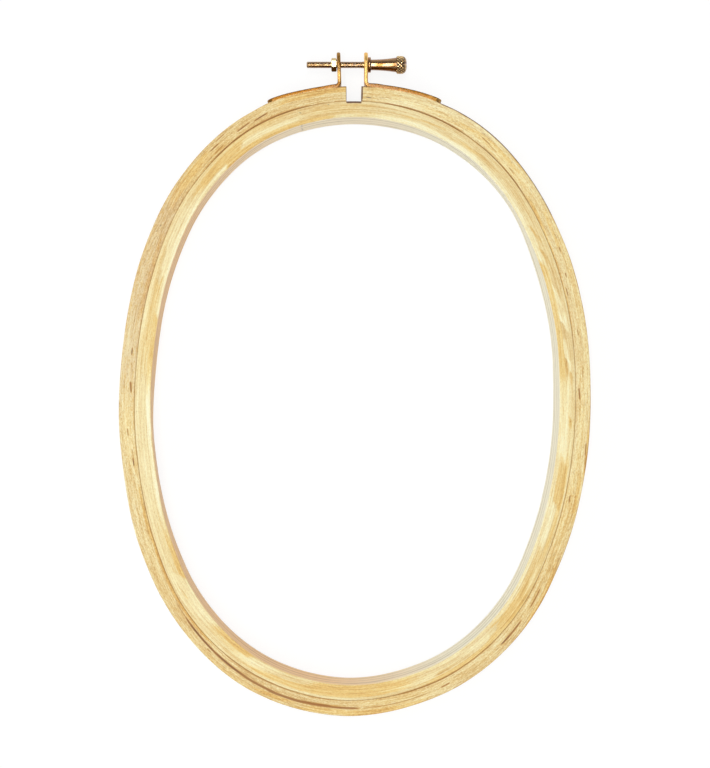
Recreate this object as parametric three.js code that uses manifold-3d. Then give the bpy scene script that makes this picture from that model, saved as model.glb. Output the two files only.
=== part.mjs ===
// An oval embroidery hoop: two wooden rings, the outer one split and drawn together by a brass clamp screw.
// It lies flat on its underside, with X across the hoop, Y along it towards the clamp and Z up.
// All sizes are in millimetres.

import * as THREE from 'three';
import { mergeVertices } from 'three/addons/utils/BufferGeometryUtils.js';
import Module from 'manifold-3d';

const wasm = await Module();
wasm.setup();

// Hoop, sized by the outside of the inner ring
const hoopWidth = 200;
const hoopLength = 270;
const endInset = 9; // half the width less the radius of the two end arcs
const ringThickness = 7;
const ringDepth = 16;
const edgeRadius = 0.5;
const clothClearance = 0.3; // room left for the cloth between the two rings
const splitWidth = 6.8;

// Clamp ears, each bent from one brass strip
const strapWidth = 11.2;
const strapThickness = 1.5;
const strapLength = 31.6; // from the foot of the ear to the free end, along the ring
const strapCornerRadius = 2.5;
const bendRadius = 1.2; // on the inside of the bend
const seatGap = 0.2; // between the strap and the wood
const screwHeight = 11.2; // screw axis above the outer ring
const leftSetback = 2.4; // from the cut end of the ring to the ear
const rightSetback = 1.4;
const leftLean = THREE.MathUtils.degToRad(2); // the left ear is bent a little away from the right one
const rightLean = 0;

// Rivets that hold the straps to the ring
const rivetDiameter = 2.4;
const rivetHeadDiameter = 4.4;
const rivetHeadDepth = 1;
const rivetCrown = 0.15;
const rivetTailDiameter = 4;
const rivetTailThickness = 0.8;
const rivetRecess = 0.8; // the tail lies this far below the inside of the wood
const rivetInset = 7.5; // from the strap's two ends to its rivets
const rivetClearance = 0.1;

// Clamp screw
const screwDiameter = 3;
const screwClearance = 0.15; // in the holes of the ears
const tailLength = 11; // thread that stands out beyond the nut
const tailChamfer = 0.4;
const bearingGap = 0.1;
const collarDiameter = 7;
const collarThickness = 1.3;
const sleeveDiameter = 4.8;
const sleeveLength = 11.6;
const flareDiameter = 6.6; // of the sleeve where it meets the knob
const knobDiameter = 8;
const knobLength = 4.8;
const knobRounding = 0.6; // where the rim meets the sleeve
const knobDomeLength = 2.4;
const knobFaceDiameter = 3; // flat left in the middle of the domed end
const fluteCount = 20;
const fluteDepth = 0.45;
const slotWidth = 1;
const slotDepth = 1;

// Hexagonal nut
const nutAcrossFlats = 5.5;
const nutThickness = 2.4;
const nutChamfer = 0.3;
const nutTurn = THREE.MathUtils.degToRad(30); // about the screw, from a corner that points straight up
const threadClearance = 0.1;

// Fineness of the curved faces
const endArcSteps = 30;
const sideArcSteps = 16;
const edgeSteps = 2;
const strapSteps = 14;
const bendSteps = 6;
const roundSteps = 24;
const flareSteps = 8;
const domeSteps = 5;
const fluteSteps = 6;

// Places worked out from the sizes
const halfWidth = hoopWidth / 2;
const halfLength = hoopLength / 2;
const endCentre = halfLength - halfWidth + endInset;
const sideCentre = (endCentre ** 2 - endInset ** 2) / (2 * endInset);
const joinAngle = Math.atan2(endCentre, sideCentre);
const endRadius = halfWidth - endInset;
const outerRingInside = clothClearance;
const outerRingOutside = clothClearance + ringThickness;
const ringTop = halfLength + outerRingOutside;
const strapSeatRadius = endRadius + outerRingOutside + seatGap;
const outerBendRadius = bendRadius + strapThickness;
const midDepth = ringDepth / 2;
const screwAxisY = ringTop + screwHeight;
const earTop = screwAxisY + strapWidth / 2;

function arcPoints(centreX, centreY, radius, from, to, steps) {
  const points = [];
  for (let i = 0; i <= steps; i += 1) {
    const angle = from + ((to - from) * i) / steps;
    points.push(new THREE.Vector2(centreX + radius * Math.cos(angle), centreY + radius * Math.sin(angle)));
  }
  return points;
}

function withoutLast(points) {
  return points.slice(0, -1);
}

// The hoop line is an oval of four tangent arcs; every face of the rings is an offset of it.
function ovalPoints(offset) {
  const side = halfWidth + sideCentre + offset;
  const end = endRadius + offset;
  return [
    ...withoutLast(arcPoints(-sideCentre, 0, side, -joinAngle, joinAngle, sideArcSteps)),
    ...withoutLast(arcPoints(0, endCentre, end, joinAngle, Math.PI - joinAngle, endArcSteps)),
    ...withoutLast(arcPoints(sideCentre, 0, side, Math.PI - joinAngle, Math.PI + joinAngle, sideArcSteps)),
    ...withoutLast(arcPoints(0, -endCentre, end, Math.PI + joinAngle, 2 * Math.PI - joinAngle, endArcSteps)),
  ];
}

function solidOf(geometry) {
  geometry.deleteAttribute('normal');
  geometry.deleteAttribute('uv');
  const merged = mergeVertices(geometry, 1e-5);
  return new wasm.Manifold(
    new wasm.Mesh({
      numProp: 3,
      vertProperties: merged.attributes.position.array,
      triVerts: new Uint32Array(merged.index.array),
    }),
  );
}

function geometryOf(solid) {
  const { vertProperties, triVerts } = solid.getMesh();
  const geometry = new THREE.BufferGeometry();
  geometry.setAttribute('position', new THREE.BufferAttribute(vertProperties, 3));
  geometry.setIndex(new THREE.BufferAttribute(triVerts, 1));
  geometry.computeVertexNormals();
  return geometry;
}

function ringSolid(insideOffset, outsideOffset) {
  const shape = new THREE.Shape(ovalPoints(outsideOffset));
  shape.holes.push(new THREE.Path(ovalPoints(insideOffset)));
  const geometry = new THREE.ExtrudeGeometry(shape, {
    depth: ringDepth - 2 * edgeRadius,
    bevelThickness: edgeRadius,
    bevelSize: edgeRadius,
    bevelOffset: -edgeRadius,
    bevelSegments: edgeSteps,
  });
  return solidOf(geometry.translate(0, 0, edgeRadius));
}

// A block that runs along Y from one height to another, and through the whole depth of the ring
function splitSolid() {
  const below = ringTop - 2 * ringThickness;
  const above = ringTop + ringThickness;
  const geometry = new THREE.BoxGeometry(splitWidth, above - below, 2 * ringDepth);
  return solidOf(geometry.translate(0, (above + below) / 2, midDepth));
}

// Where one ear stands; angles are measured from the hoop's long axis about the centre of its end arc
function earPlace(hand, setback, lean) {
  const footX = splitWidth / 2 + setback;
  const bendCentreX = footX + outerBendRadius * Math.cos(lean);
  const bendCentreRadius = strapSeatRadius + outerBendRadius;
  const footAngle = Math.asin(bendCentreX / bendCentreRadius);
  const bendCentreY = endCentre + bendCentreRadius * Math.cos(footAngle);
  const footY = bendCentreY + outerBendRadius * Math.sin(lean);
  const endAngle = footAngle + strapLength / strapSeatRadius;
  const innerFaceX = footX + (screwAxisY - footY) * Math.tan(lean);
  return {
    hand,
    lean,
    footX,
    footY,
    footAngle,
    endAngle,
    bendCentreX,
    bendCentreY,
    outerFaceX: innerFaceX + strapThickness / Math.cos(lean),
  };
}

// The bent strip seen along its width: up the ear from the free end on the wood's side, and back outside
function strapOutline(place) {
  const { lean, footX, footY, footAngle, endAngle, bendCentreX, bendCentreY } = place;
  const right = Math.PI / 2;
  const bendStart = 3 * right - footAngle;
  const bendEnd = 2 * right - lean;
  const earLength = (earTop + strapThickness - footY) / Math.cos(lean);
  const topX = footX + earLength * Math.sin(lean);
  const topY = footY + earLength * Math.cos(lean);
  const points = [
    ...arcPoints(0, endCentre, strapSeatRadius, right - endAngle, right - footAngle, strapSteps),
    ...arcPoints(bendCentreX, bendCentreY, outerBendRadius, bendStart, bendEnd, bendSteps).slice(1),
    new THREE.Vector2(topX, topY),
    new THREE.Vector2(topX + strapThickness * Math.cos(lean), topY - strapThickness * Math.sin(lean)),
    ...arcPoints(bendCentreX, bendCentreY, bendRadius, bendEnd, bendStart, bendSteps),
    ...arcPoints(0, endCentre, strapSeatRadius + strapThickness, right - footAngle, right - endAngle, strapSteps).slice(1),
  ];
  return points.map((point) => new THREE.Vector2(place.hand * point.x, point.y));
}

// The ear's rounded top, concentric with the screw, as a window through which the strip is seen along X
function earWindow() {
  const points = [
    new THREE.Vector2(-strapWidth / 2, 0),
    new THREE.Vector2(strapWidth / 2, 0),
    ...arcPoints(0, screwAxisY, strapWidth / 2, 0, Math.PI, roundSteps / 2),
  ];
  const geometry = new THREE.ExtrudeGeometry(new THREE.Shape(points), { depth: hoopWidth, bevelEnabled: false });
  geometry.rotateY(Math.PI / 2);
  return solidOf(geometry.translate(-halfWidth, 0, midDepth));
}

// The strap's plan with two rounded corners at its free end, as a window through which it is seen along Y
function strapWindow(place) {
  const farX = (strapSeatRadius + strapThickness) * Math.sin(place.endAngle);
  const cornerX = farX - strapCornerRadius;
  const cornerZ = strapWidth / 2 - strapCornerRadius;
  const points = [
    new THREE.Vector2(0, strapWidth / 2),
    new THREE.Vector2(0, -strapWidth / 2),
    ...arcPoints(cornerX, -cornerZ, strapCornerRadius, -Math.PI / 2, 0, bendSteps),
    ...arcPoints(cornerX, cornerZ, strapCornerRadius, 0, Math.PI / 2, bendSteps),
  ];
  const shape = new THREE.Shape(points.map((point) => new THREE.Vector2(place.hand * point.x, point.y)));
  const geometry = new THREE.ExtrudeGeometry(shape, { depth: 2 * earTop, bevelEnabled: false });
  geometry.rotateX(-Math.PI / 2);
  return solidOf(geometry.translate(0, 0, midDepth));
}

function rodAlongX(radius, fromX, toX) {
  const geometry = new THREE.CylinderGeometry(radius, radius, toX - fromX, roundSteps);
  geometry.rotateZ(-Math.PI / 2);
  return solidOf(geometry.translate((fromX + toX) / 2, screwAxisY, midDepth));
}

// A rivet about its own axis, Y, measured from the centre of the end arc; the play makes the hole that it fills
function rivetGeometry(play, tailEnd) {
  const headTop = strapSeatRadius + strapThickness;
  const shank = rivetDiameter / 2 + play;
  const head = rivetHeadDiameter / 2 + play;
  const tail = rivetTailDiameter / 2 + play;
  const tailTop = endRadius + outerRingInside + rivetRecess + rivetTailThickness;
  const points = [
    new THREE.Vector2(0, tailEnd),
    new THREE.Vector2(tail, tailEnd),
    new THREE.Vector2(tail, tailTop + play),
    new THREE.Vector2(shank, tailTop + play),
    new THREE.Vector2(shank, headTop - rivetHeadDepth),
    new THREE.Vector2(head, headTop),
    new THREE.Vector2(head / 2, headTop + rivetCrown + play),
    new THREE.Vector2(0, headTop + rivetCrown + play),
  ];
  return new THREE.LatheGeometry(points, roundSteps);
}

function rivetAngles(place) {
  const inset = rivetInset / strapSeatRadius;
  return [place.footAngle + inset, place.endAngle - inset];
}

function rivetHoles(place) {
  const clearOfTheWood = endRadius - ringThickness / 2;
  return rivetAngles(place).map((angle) => {
    const geometry = rivetGeometry(rivetClearance, clearOfTheWood);
    geometry.rotateZ(-place.hand * angle);
    return solidOf(geometry.translate(0, endCentre, midDepth));
  });
}

function cutAll(solid, tools) {
  return tools.reduce((left, tool) => left.subtract(tool), solid);
}

function outerRingGeometry(places) {
  const ring = ringSolid(outerRingInside, outerRingOutside).subtract(splitSolid());
  return geometryOf(cutAll(ring, places.flatMap(rivetHoles)));
}

function bracketGeometry(place) {
  const strip = new THREE.ExtrudeGeometry(new THREE.Shape(strapOutline(place)), {
    depth: strapWidth,
    bevelEnabled: false,
  });
  const bent = solidOf(strip.translate(0, 0, midDepth - strapWidth / 2));
  const shaped = bent.intersect(earWindow()).intersect(strapWindow(place));
  const hole = rodAlongX(screwDiameter / 2 + screwClearance, -halfWidth, halfWidth);
  return geometryOf(cutAll(shaped.subtract(hole), rivetHoles(place)));
}

// The screw's shank, collar and flared sleeve about its own axis, Y, from its tail to the root of the knob
function screwTurning(tailX, collarX, knobX) {
  const shank = screwDiameter / 2;
  const sleeveX = collarX + collarThickness;
  const points = [
    new THREE.Vector2(0, tailX),
    new THREE.Vector2(shank - tailChamfer, tailX),
    new THREE.Vector2(shank, tailX + tailChamfer),
    new THREE.Vector2(shank, collarX),
    new THREE.Vector2(collarDiameter / 2, collarX),
    new THREE.Vector2(collarDiameter / 2, sleeveX),
  ];
  for (let i = 0; i <= flareSteps; i += 1) {
    const share = i / flareSteps;
    const widening = (flareDiameter - sleeveDiameter) * share ** 2;
    points.push(new THREE.Vector2((sleeveDiameter + widening) / 2, sleeveX + sleeveLength * share));
  }
  points.push(new THREE.Vector2(flareDiameter / 2, knobX + knobLength / 2));
  points.push(new THREE.Vector2(0, knobX + knobLength / 2));
  return solidOf(new THREE.LatheGeometry(points, roundSteps));
}

// The knob about its own axis, Y: turned with a rounded shoulder and a domed end, then fluted round its rim
function knobSolid(knobX) {
  const radius = knobDiameter / 2;
  const faceRadius = knobFaceDiameter / 2;
  const farX = knobX + knobLength;
  const right = Math.PI / 2;
  const dome = [];
  for (let i = 0; i <= domeSteps; i += 1) {
    const angle = (right * i) / domeSteps;
    const domeRadius = faceRadius + (radius - faceRadius) * Math.cos(angle);
    dome.push(new THREE.Vector2(domeRadius, farX - knobDomeLength * (1 - Math.sin(angle))));
  }
  const profile = [
    new THREE.Vector2(0, knobX),
    ...arcPoints(radius - knobRounding, knobX + knobRounding, knobRounding, -right, 0, edgeSteps),
    ...dome,
    new THREE.Vector2(0, farX),
  ];
  const rim = [];
  const rimSteps = fluteCount * fluteSteps;
  for (let i = 0; i < rimSteps; i += 1) {
    const angle = (2 * Math.PI * i) / rimSteps;
    const depth = fluteDepth * Math.sin((fluteCount * angle) / 2) ** 2;
    rim.push(new THREE.Vector2((radius - depth) * Math.cos(angle), (radius - depth) * Math.sin(angle)));
  }
  const fluted = new THREE.ExtrudeGeometry(new THREE.Shape(rim), { depth: 2 * knobLength, bevelEnabled: false });
  fluted.rotateX(-Math.PI / 2);
  fluted.translate(0, knobX - knobLength / 2, 0);
  return solidOf(new THREE.LatheGeometry(profile, 2 * fluteCount)).intersect(solidOf(fluted));
}

function screwGeometry(tailX, collarX) {
  const knobX = collarX + collarThickness + sleeveLength;
  const slot = new THREE.BoxGeometry(slotWidth, 2 * slotDepth, 2 * knobDiameter);
  slot.translate(0, knobX + knobLength, 0);
  const whole = screwTurning(tailX, collarX, knobX).add(knobSolid(knobX)).subtract(solidOf(slot));
  return geometryOf(whole).rotateZ(-Math.PI / 2);
}

// The nut about its own axis, Y, with its corners turned off at both faces
function nutGeometry() {
  const corner = nutAcrossFlats / Math.sqrt(3);
  const hexagon = new THREE.CylinderGeometry(corner, corner, nutThickness, 6);
  const half = nutThickness / 2;
  const turned = new THREE.LatheGeometry(
    [
      new THREE.Vector2(0, -half),
      new THREE.Vector2(nutAcrossFlats / 2, -half),
      new THREE.Vector2(corner, nutChamfer - half),
      new THREE.Vector2(corner, half - nutChamfer),
      new THREE.Vector2(nutAcrossFlats / 2, half),
      new THREE.Vector2(0, half),
    ],
    2 * roundSteps,
  );
  const bore = screwDiameter / 2 + threadClearance;
  const hole = new THREE.CylinderGeometry(bore, bore, 2 * nutThickness, roundSteps);
  const nut = solidOf(hexagon).intersect(solidOf(turned)).subtract(solidOf(hole));
  return geometryOf(nut).rotateZ(-Math.PI / 2);
}

function beech(colour) {
  return new THREE.MeshStandardMaterial({ color: colour, roughness: 0.62, metalness: 0 });
}

function brass(colour, roughness) {
  return new THREE.MeshStandardMaterial({ color: colour, roughness, metalness: 1 });
}

function piece(name, geometry, material) {
  const mesh = new THREE.Mesh(geometry, material);
  mesh.name = name;
  return mesh;
}

function rivets(name, place) {
  const tailEnd = endRadius + outerRingInside + rivetRecess;
  return rivetAngles(place).map((angle, index) => {
    const rivet = piece(`${name}_${index + 1}`, rivetGeometry(0, tailEnd), brass(0xc98a3c, 0.35));
    rivet.position.set(0, endCentre, midDepth);
    rivet.rotation.z = -place.hand * angle;
    return rivet;
  });
}

function clampScrew(leftEar, rightEar) {
  const nutLean = (nutAcrossFlats / Math.sqrt(3)) * Math.tan(leftEar.lean);
  const nutX = -(leftEar.outerFaceX + nutLean + bearingGap + nutThickness / 2);
  const tailX = nutX - nutThickness / 2 - tailLength;
  const collarX = rightEar.outerFaceX + bearingGap;
  const group = new THREE.Group();
  const nut = piece('hex_nut', nutGeometry(), brass(0xd8b765, 0.3));
  nut.position.x = nutX;
  nut.rotation.x = nutTurn;
  group.add(piece('clamp_screw', screwGeometry(tailX, collarX), brass(0xb98a45, 0.28)), nut);
  group.position.set(0, screwAxisY, midDepth);
  return group;
}

function embroideryHoop() {
  const leftEar = earPlace(-1, leftSetback, leftLean);
  const rightEar = earPlace(1, rightSetback, rightLean);
  const group = new THREE.Group();
  group.add(
    piece('inner_ring', geometryOf(ringSolid(-ringThickness, 0)), beech(0xe6cf9a)),
    piece('outer_ring', outerRingGeometry([leftEar, rightEar]), beech(0xe0c68c)),
    piece('left_bracket', bracketGeometry(leftEar), brass(0xc9853a, 0.35)),
    piece('right_bracket', bracketGeometry(rightEar), brass(0xd0883c, 0.35)),
    ...rivets('left_rivet', leftEar),
    ...rivets('right_rivet', rightEar),
    clampScrew(leftEar, rightEar),
  );
  group.position.y = (ringTop - earTop) / 2;
  return group;
}

export default embroideryHoop();
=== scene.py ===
import math

import bmesh
import bpy
import numpy as np
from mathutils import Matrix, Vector
from mathutils.geometry import delaunay_2d_cdt


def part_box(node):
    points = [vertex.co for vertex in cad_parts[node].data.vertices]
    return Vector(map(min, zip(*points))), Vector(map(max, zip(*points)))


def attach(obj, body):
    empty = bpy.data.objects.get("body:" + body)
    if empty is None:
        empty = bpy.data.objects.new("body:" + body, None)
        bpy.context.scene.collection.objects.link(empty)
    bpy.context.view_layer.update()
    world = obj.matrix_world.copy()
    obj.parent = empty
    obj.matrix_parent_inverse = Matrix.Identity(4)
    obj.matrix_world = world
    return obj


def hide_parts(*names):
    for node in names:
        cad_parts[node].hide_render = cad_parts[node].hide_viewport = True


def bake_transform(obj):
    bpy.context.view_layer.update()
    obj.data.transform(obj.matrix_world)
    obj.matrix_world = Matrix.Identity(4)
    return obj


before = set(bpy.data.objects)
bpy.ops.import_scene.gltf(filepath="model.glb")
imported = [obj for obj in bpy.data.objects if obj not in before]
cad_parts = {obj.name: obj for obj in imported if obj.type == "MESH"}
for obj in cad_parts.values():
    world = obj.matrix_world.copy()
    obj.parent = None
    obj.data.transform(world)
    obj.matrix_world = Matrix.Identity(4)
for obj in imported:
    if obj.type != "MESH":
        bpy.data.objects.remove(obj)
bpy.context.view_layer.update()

# Sizes in millimetres, as in the part's source
HALF_WIDTH, HALF_LENGTH, END_INSET = 100.0, 135.0, 9.0
RING_THICKNESS, RING_DEPTH = 7.0, 16.0
CLOTH_CLEARANCE = 0.3
SPLIT_WIDTH = 6.8
STRAP_WIDTH, STRAP_THICKNESS, STRAP_LENGTH = 11.2, 1.5, 31.6
STRAP_CORNER, BEND_RADIUS, SEAT_GAP = 2.5, 1.2, 0.2
SCREW_HEIGHT = 11.2
LEFT_SETBACK, RIGHT_SETBACK = 2.4, 1.4
LEFT_LEAN, RIGHT_LEAN = math.radians(2), 0.0
RIVET_INSET, RIVET_HEAD, RIVET_SHANK, RIVET_TAIL = 7.5, 2.2, 1.2, 2.0
RIVET_RECESS, RIVET_TAIL_THICKNESS = 0.8, 0.8
THREAD_RADIUS, THREAD_PITCH, THREAD_DEPTH = 1.5, 0.5, 0.27
BEARING_GAP = 0.1
COLLAR_RADIUS, COLLAR_THICKNESS = 3.5, 1.3
SLEEVE_RADIUS, SLEEVE_LENGTH, FLARE_RADIUS = 2.4, 11.6, 3.3
KNOB_RADIUS, KNOB_LENGTH, KNOB_DOME, KNOB_FACE = 4.0, 4.8, 2.4, 1.5
SLOT_WIDTH, SLOT_DEPTH = 1.0, 1.0
KNURL_STARTS = 16
NUT_FLATS, NUT_THICKNESS, NUT_TURN = 5.5, 2.4, math.radians(30)

END_CENTRE = HALF_LENGTH - HALF_WIDTH + END_INSET
SIDE_CENTRE = (END_CENTRE**2 - END_INSET**2) / (2 * END_INSET)
JOIN_ANGLE = math.atan2(END_CENTRE, SIDE_CENTRE)
END_RADIUS = HALF_WIDTH - END_INSET
SIDE_RADIUS = HALF_WIDTH + SIDE_CENTRE
END_ARC = (math.pi / 2 - JOIN_ANGLE) * END_RADIUS
QUARTER = END_ARC + JOIN_ANGLE * SIDE_RADIUS
AROUND = 4 * QUARTER
MID = RING_DEPTH / 2
SEAT_RADIUS = END_RADIUS + CLOTH_CLEARANCE + RING_THICKNESS + SEAT_GAP
RING_TOP = HALF_LENGTH + CLOTH_CLEARANCE + RING_THICKNESS
SCREW_Y = RING_TOP + SCREW_HEIGHT
ring_low, ring_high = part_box("inner_ring")
OVAL_Y = (ring_low.y + ring_high.y) / 2 * 1000

scene = bpy.context.scene


# Helpers
def smooth(x, a, b):
    t = np.clip((x - a) / (b - a), 0, 1)
    return t * t * (3 - 2 * t)


def near(s, start, end, soft):
    """1 between two places on the hoop line and 0 beyond, with soft ends."""
    away = np.mod(s - (start + end) / 2 + AROUND / 2, AROUND) - AROUND / 2
    half = (end - start) / 2
    return smooth(away, -half - soft, -half + soft) * (1 - smooth(away, half - soft, half + soft))


def stretches(s, rows):
    """The sum of values that hold between two places each, from rows of (start, end, softness, value)."""
    return sum(value * near(s, start, end, soft) for start, end, soft, value in rows)


def noise(x, y, seed):
    """Smooth value noise on a unit lattice, from -1 to 1."""
    x, y = np.broadcast_arrays(np.asarray(x, float), np.asarray(y, float))
    i, j = np.floor(x).astype(np.int64), np.floor(y).astype(np.int64)
    u, v = x - i, y - j
    u, v = u * u * (3 - 2 * u), v * v * (3 - 2 * v)

    def corner(a, b):
        h = (a * 374761393 + b * 668265263 + seed * 974634777) & 0xFFFFFFFF
        h = ((h ^ (h >> 13)) * 1274126177) & 0xFFFFFFFF
        return ((h ^ (h >> 16)) & 0xFFFF) / 32767.5 - 1

    low = corner(i, j) * (1 - u) + corner(i + 1, j) * u
    high = corner(i, j + 1) * (1 - u) + corner(i + 1, j + 1) * u
    return low * (1 - v) + high * v


def link(name, points, faces, material, smooth_faces=True):
    """A mesh object from points in millimetres about the oval's centre, underside at 0."""
    points = np.asarray(points, float)
    mesh = bpy.data.meshes.new(name)
    mesh.from_pydata([(p[0] / 1000, (p[1] + OVAL_Y) / 1000, p[2] / 1000) for p in points], [], faces)
    mesh.validate()
    mesh.update()
    if smooth_faces:
        mesh.shade_smooth()
    obj = bpy.data.objects.new(name, mesh)
    scene.collection.objects.link(obj)
    mesh.materials.append(material)
    return obj


def paint(obj, name, values):
    values = np.asarray(values, np.float32)
    kind = "FLOAT" if values.ndim == 1 else "FLOAT_VECTOR"
    attribute = obj.data.attributes.new(name, kind, "POINT")
    attribute.data.foreach_set("value" if values.ndim == 1 else "vector", values.ravel())


def turn_outwards(obj, sharp=None):
    """Turns all faces outwards, and marks edges sharper than an angle, so that smooth shading stops there."""
    bm = bmesh.new()
    bm.from_mesh(obj.data)
    if sharp is not None:
        limit = math.radians(sharp)
        for edge in bm.edges:
            if len(edge.link_faces) == 2 and edge.calc_face_angle(0.0) > limit:
                edge.smooth = False
    bmesh.ops.recalc_face_normals(bm, faces=bm.faces)
    bm.to_mesh(obj.data)
    bm.free()


# Node helpers
class Tree:
    """Short ways to add shader nodes."""

    def __init__(self, owner, output="ShaderNodeOutputMaterial"):
        self.owner = owner
        owner.use_nodes = True
        self.nodes, self.links = owner.node_tree.nodes, owner.node_tree.links
        self.nodes.clear()
        self.out = self.nodes.new(output)

    def close(self, shader):
        """Joins the shader to the output, and gives back the material or world."""
        self.links.new(shader.outputs[0], self.out.inputs[0])
        return self.owner

    def node(self, kind, inputs=None, **settings):
        n = self.nodes.new(kind)
        for key, value in settings.items():
            setattr(n, key, value)
        for key, value in (inputs or {}).items():
            self.put(n.inputs[key], value)
        return n

    def put(self, socket, value):
        if isinstance(value, bpy.types.NodeSocket):
            self.links.new(value, socket)
        elif hasattr(socket.default_value, "__len__") and len(socket.default_value) == 4 and len(value) == 3:
            socket.default_value = (*value, 1)
        else:
            socket.default_value = value

    def attribute(self, name, output="Fac"):
        return self.node("ShaderNodeAttribute", attribute_name=name).outputs[output]

    def math(self, operation, a, b=0.0, c=0.0, clamp=False):
        n = self.node("ShaderNodeMath", {0: a, 1: b, 2: c}, operation=operation, use_clamp=clamp)
        return n.outputs[0]

    def vector(self, operation, a, b):
        return self.node("ShaderNodeVectorMath", {0: a, 1: b}, operation=operation).outputs[0]

    def step(self, value, low, high, to_low=0.0, to_high=1.0):
        n = self.node(
            "ShaderNodeMapRange",
            {"Value": value, "From Min": low, "From Max": high, "To Min": to_low, "To Max": to_high},
            interpolation_type="SMOOTHSTEP",
        )
        return n.outputs[0]

    def noise(self, vector, scale=1.0, detail=2.0, rough=0.5, distortion=0.0, output="Fac"):
        inputs = {"Vector": vector, "Scale": scale, "Detail": detail, "Roughness": rough}
        n = self.node("ShaderNodeTexNoise", {**inputs, "Distortion": distortion})
        return n.outputs[output]

    def stir(self, level, pattern, amount):
        """A level that a noise moves up and down."""
        return self.math("MULTIPLY_ADD", self.math("SUBTRACT", pattern, 0.5), amount, level)

    def mix(self, factor, a, b, blend="MIX"):
        n = self.node("ShaderNodeMix", data_type="RGBA", blend_type=blend)
        self.put(n.inputs[0], factor)
        self.put(n.inputs[6], a)
        self.put(n.inputs[7], b)
        return n.outputs[2]

    def ramp(self, value, low, high, colours):
        """Colours spread evenly between two values."""
        inputs = {"Value": value, "From Min": low, "From Max": high}
        n = self.node("ShaderNodeValToRGB", {0: self.node("ShaderNodeMapRange", inputs).outputs[0]})
        stops = n.color_ramp.elements
        for k, colour in enumerate(colours):
            position = k / (len(colours) - 1)
            stop = stops[k] if k < 1 else (stops[-1] if k == len(colours) - 1 else stops.new(position))
            stop.position = position
            stop.color = (*colour, 1)
        return n.outputs[0]

    def bump(self, height, strength, distance, normal=None):
        inputs = {"Height": height, "Strength": strength, "Distance": distance}
        if normal is not None:
            inputs["Normal"] = normal
        return self.node("ShaderNodeBump", inputs).outputs[0]


# Wood
# From the deepest tan to the palest cream, for plain wood and for wood with more amber in it
PLAIN = (
    (0.55, 0.325, 0.115), (0.725, 0.49, 0.19), (0.835, 0.665, 0.335), (0.935, 0.82, 0.47), (1.0, 0.95, 0.66),
)
AMBER = (
    (0.62, 0.325, 0.08), (0.805, 0.53, 0.165), (0.885, 0.675, 0.285), (0.96, 0.82, 0.43), (1.0, 0.94, 0.60),
)
GREYED = (0.74, 0.60, 0.42)
FLECK, PORE = (0.45, 0.25, 0.09), (0.42, 0.26, 0.12)
# colours of the painted marks; the same colours serve the painted shade along the line between the rings
STREAK_AND_SHADE, BROWN = (0.57, 0.29, 0.07), (0.33, 0.13, 0.03)
# the darkest marks, and the painted shade at the foot of the split
DARK_MARK_AND_SHADE = (0.13, 0.07, 0.05)
# the first two are painted light, the warm and the cool tint that light gives the inner wall; the last darkens
# the ply lines
WARM_LIT_WALL, COOL_LIT_WALL, PLY_SHADE = (0.94, 0.62, 0.33), (0.94, 0.89, 0.69), (0.76, 0.73, 0.69)
WALL_PORE, WALL_SEAM = (0.36, 0.25, 0.16), (0.22, 0.16, 0.19)
# the wood of the walls where the rings meet is multiplied by the first; the second is the brown of the painted
# shade at their top
HIDDEN_SHADE, SEAM_SHADE_BROWN = (0.93, 0.86, 0.76), (0.45, 0.24, 0.08)
END_DARK, END_LIGHT = (0.19, 0.10, 0.05), (0.42, 0.26, 0.14)
PLY = 4.4


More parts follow.
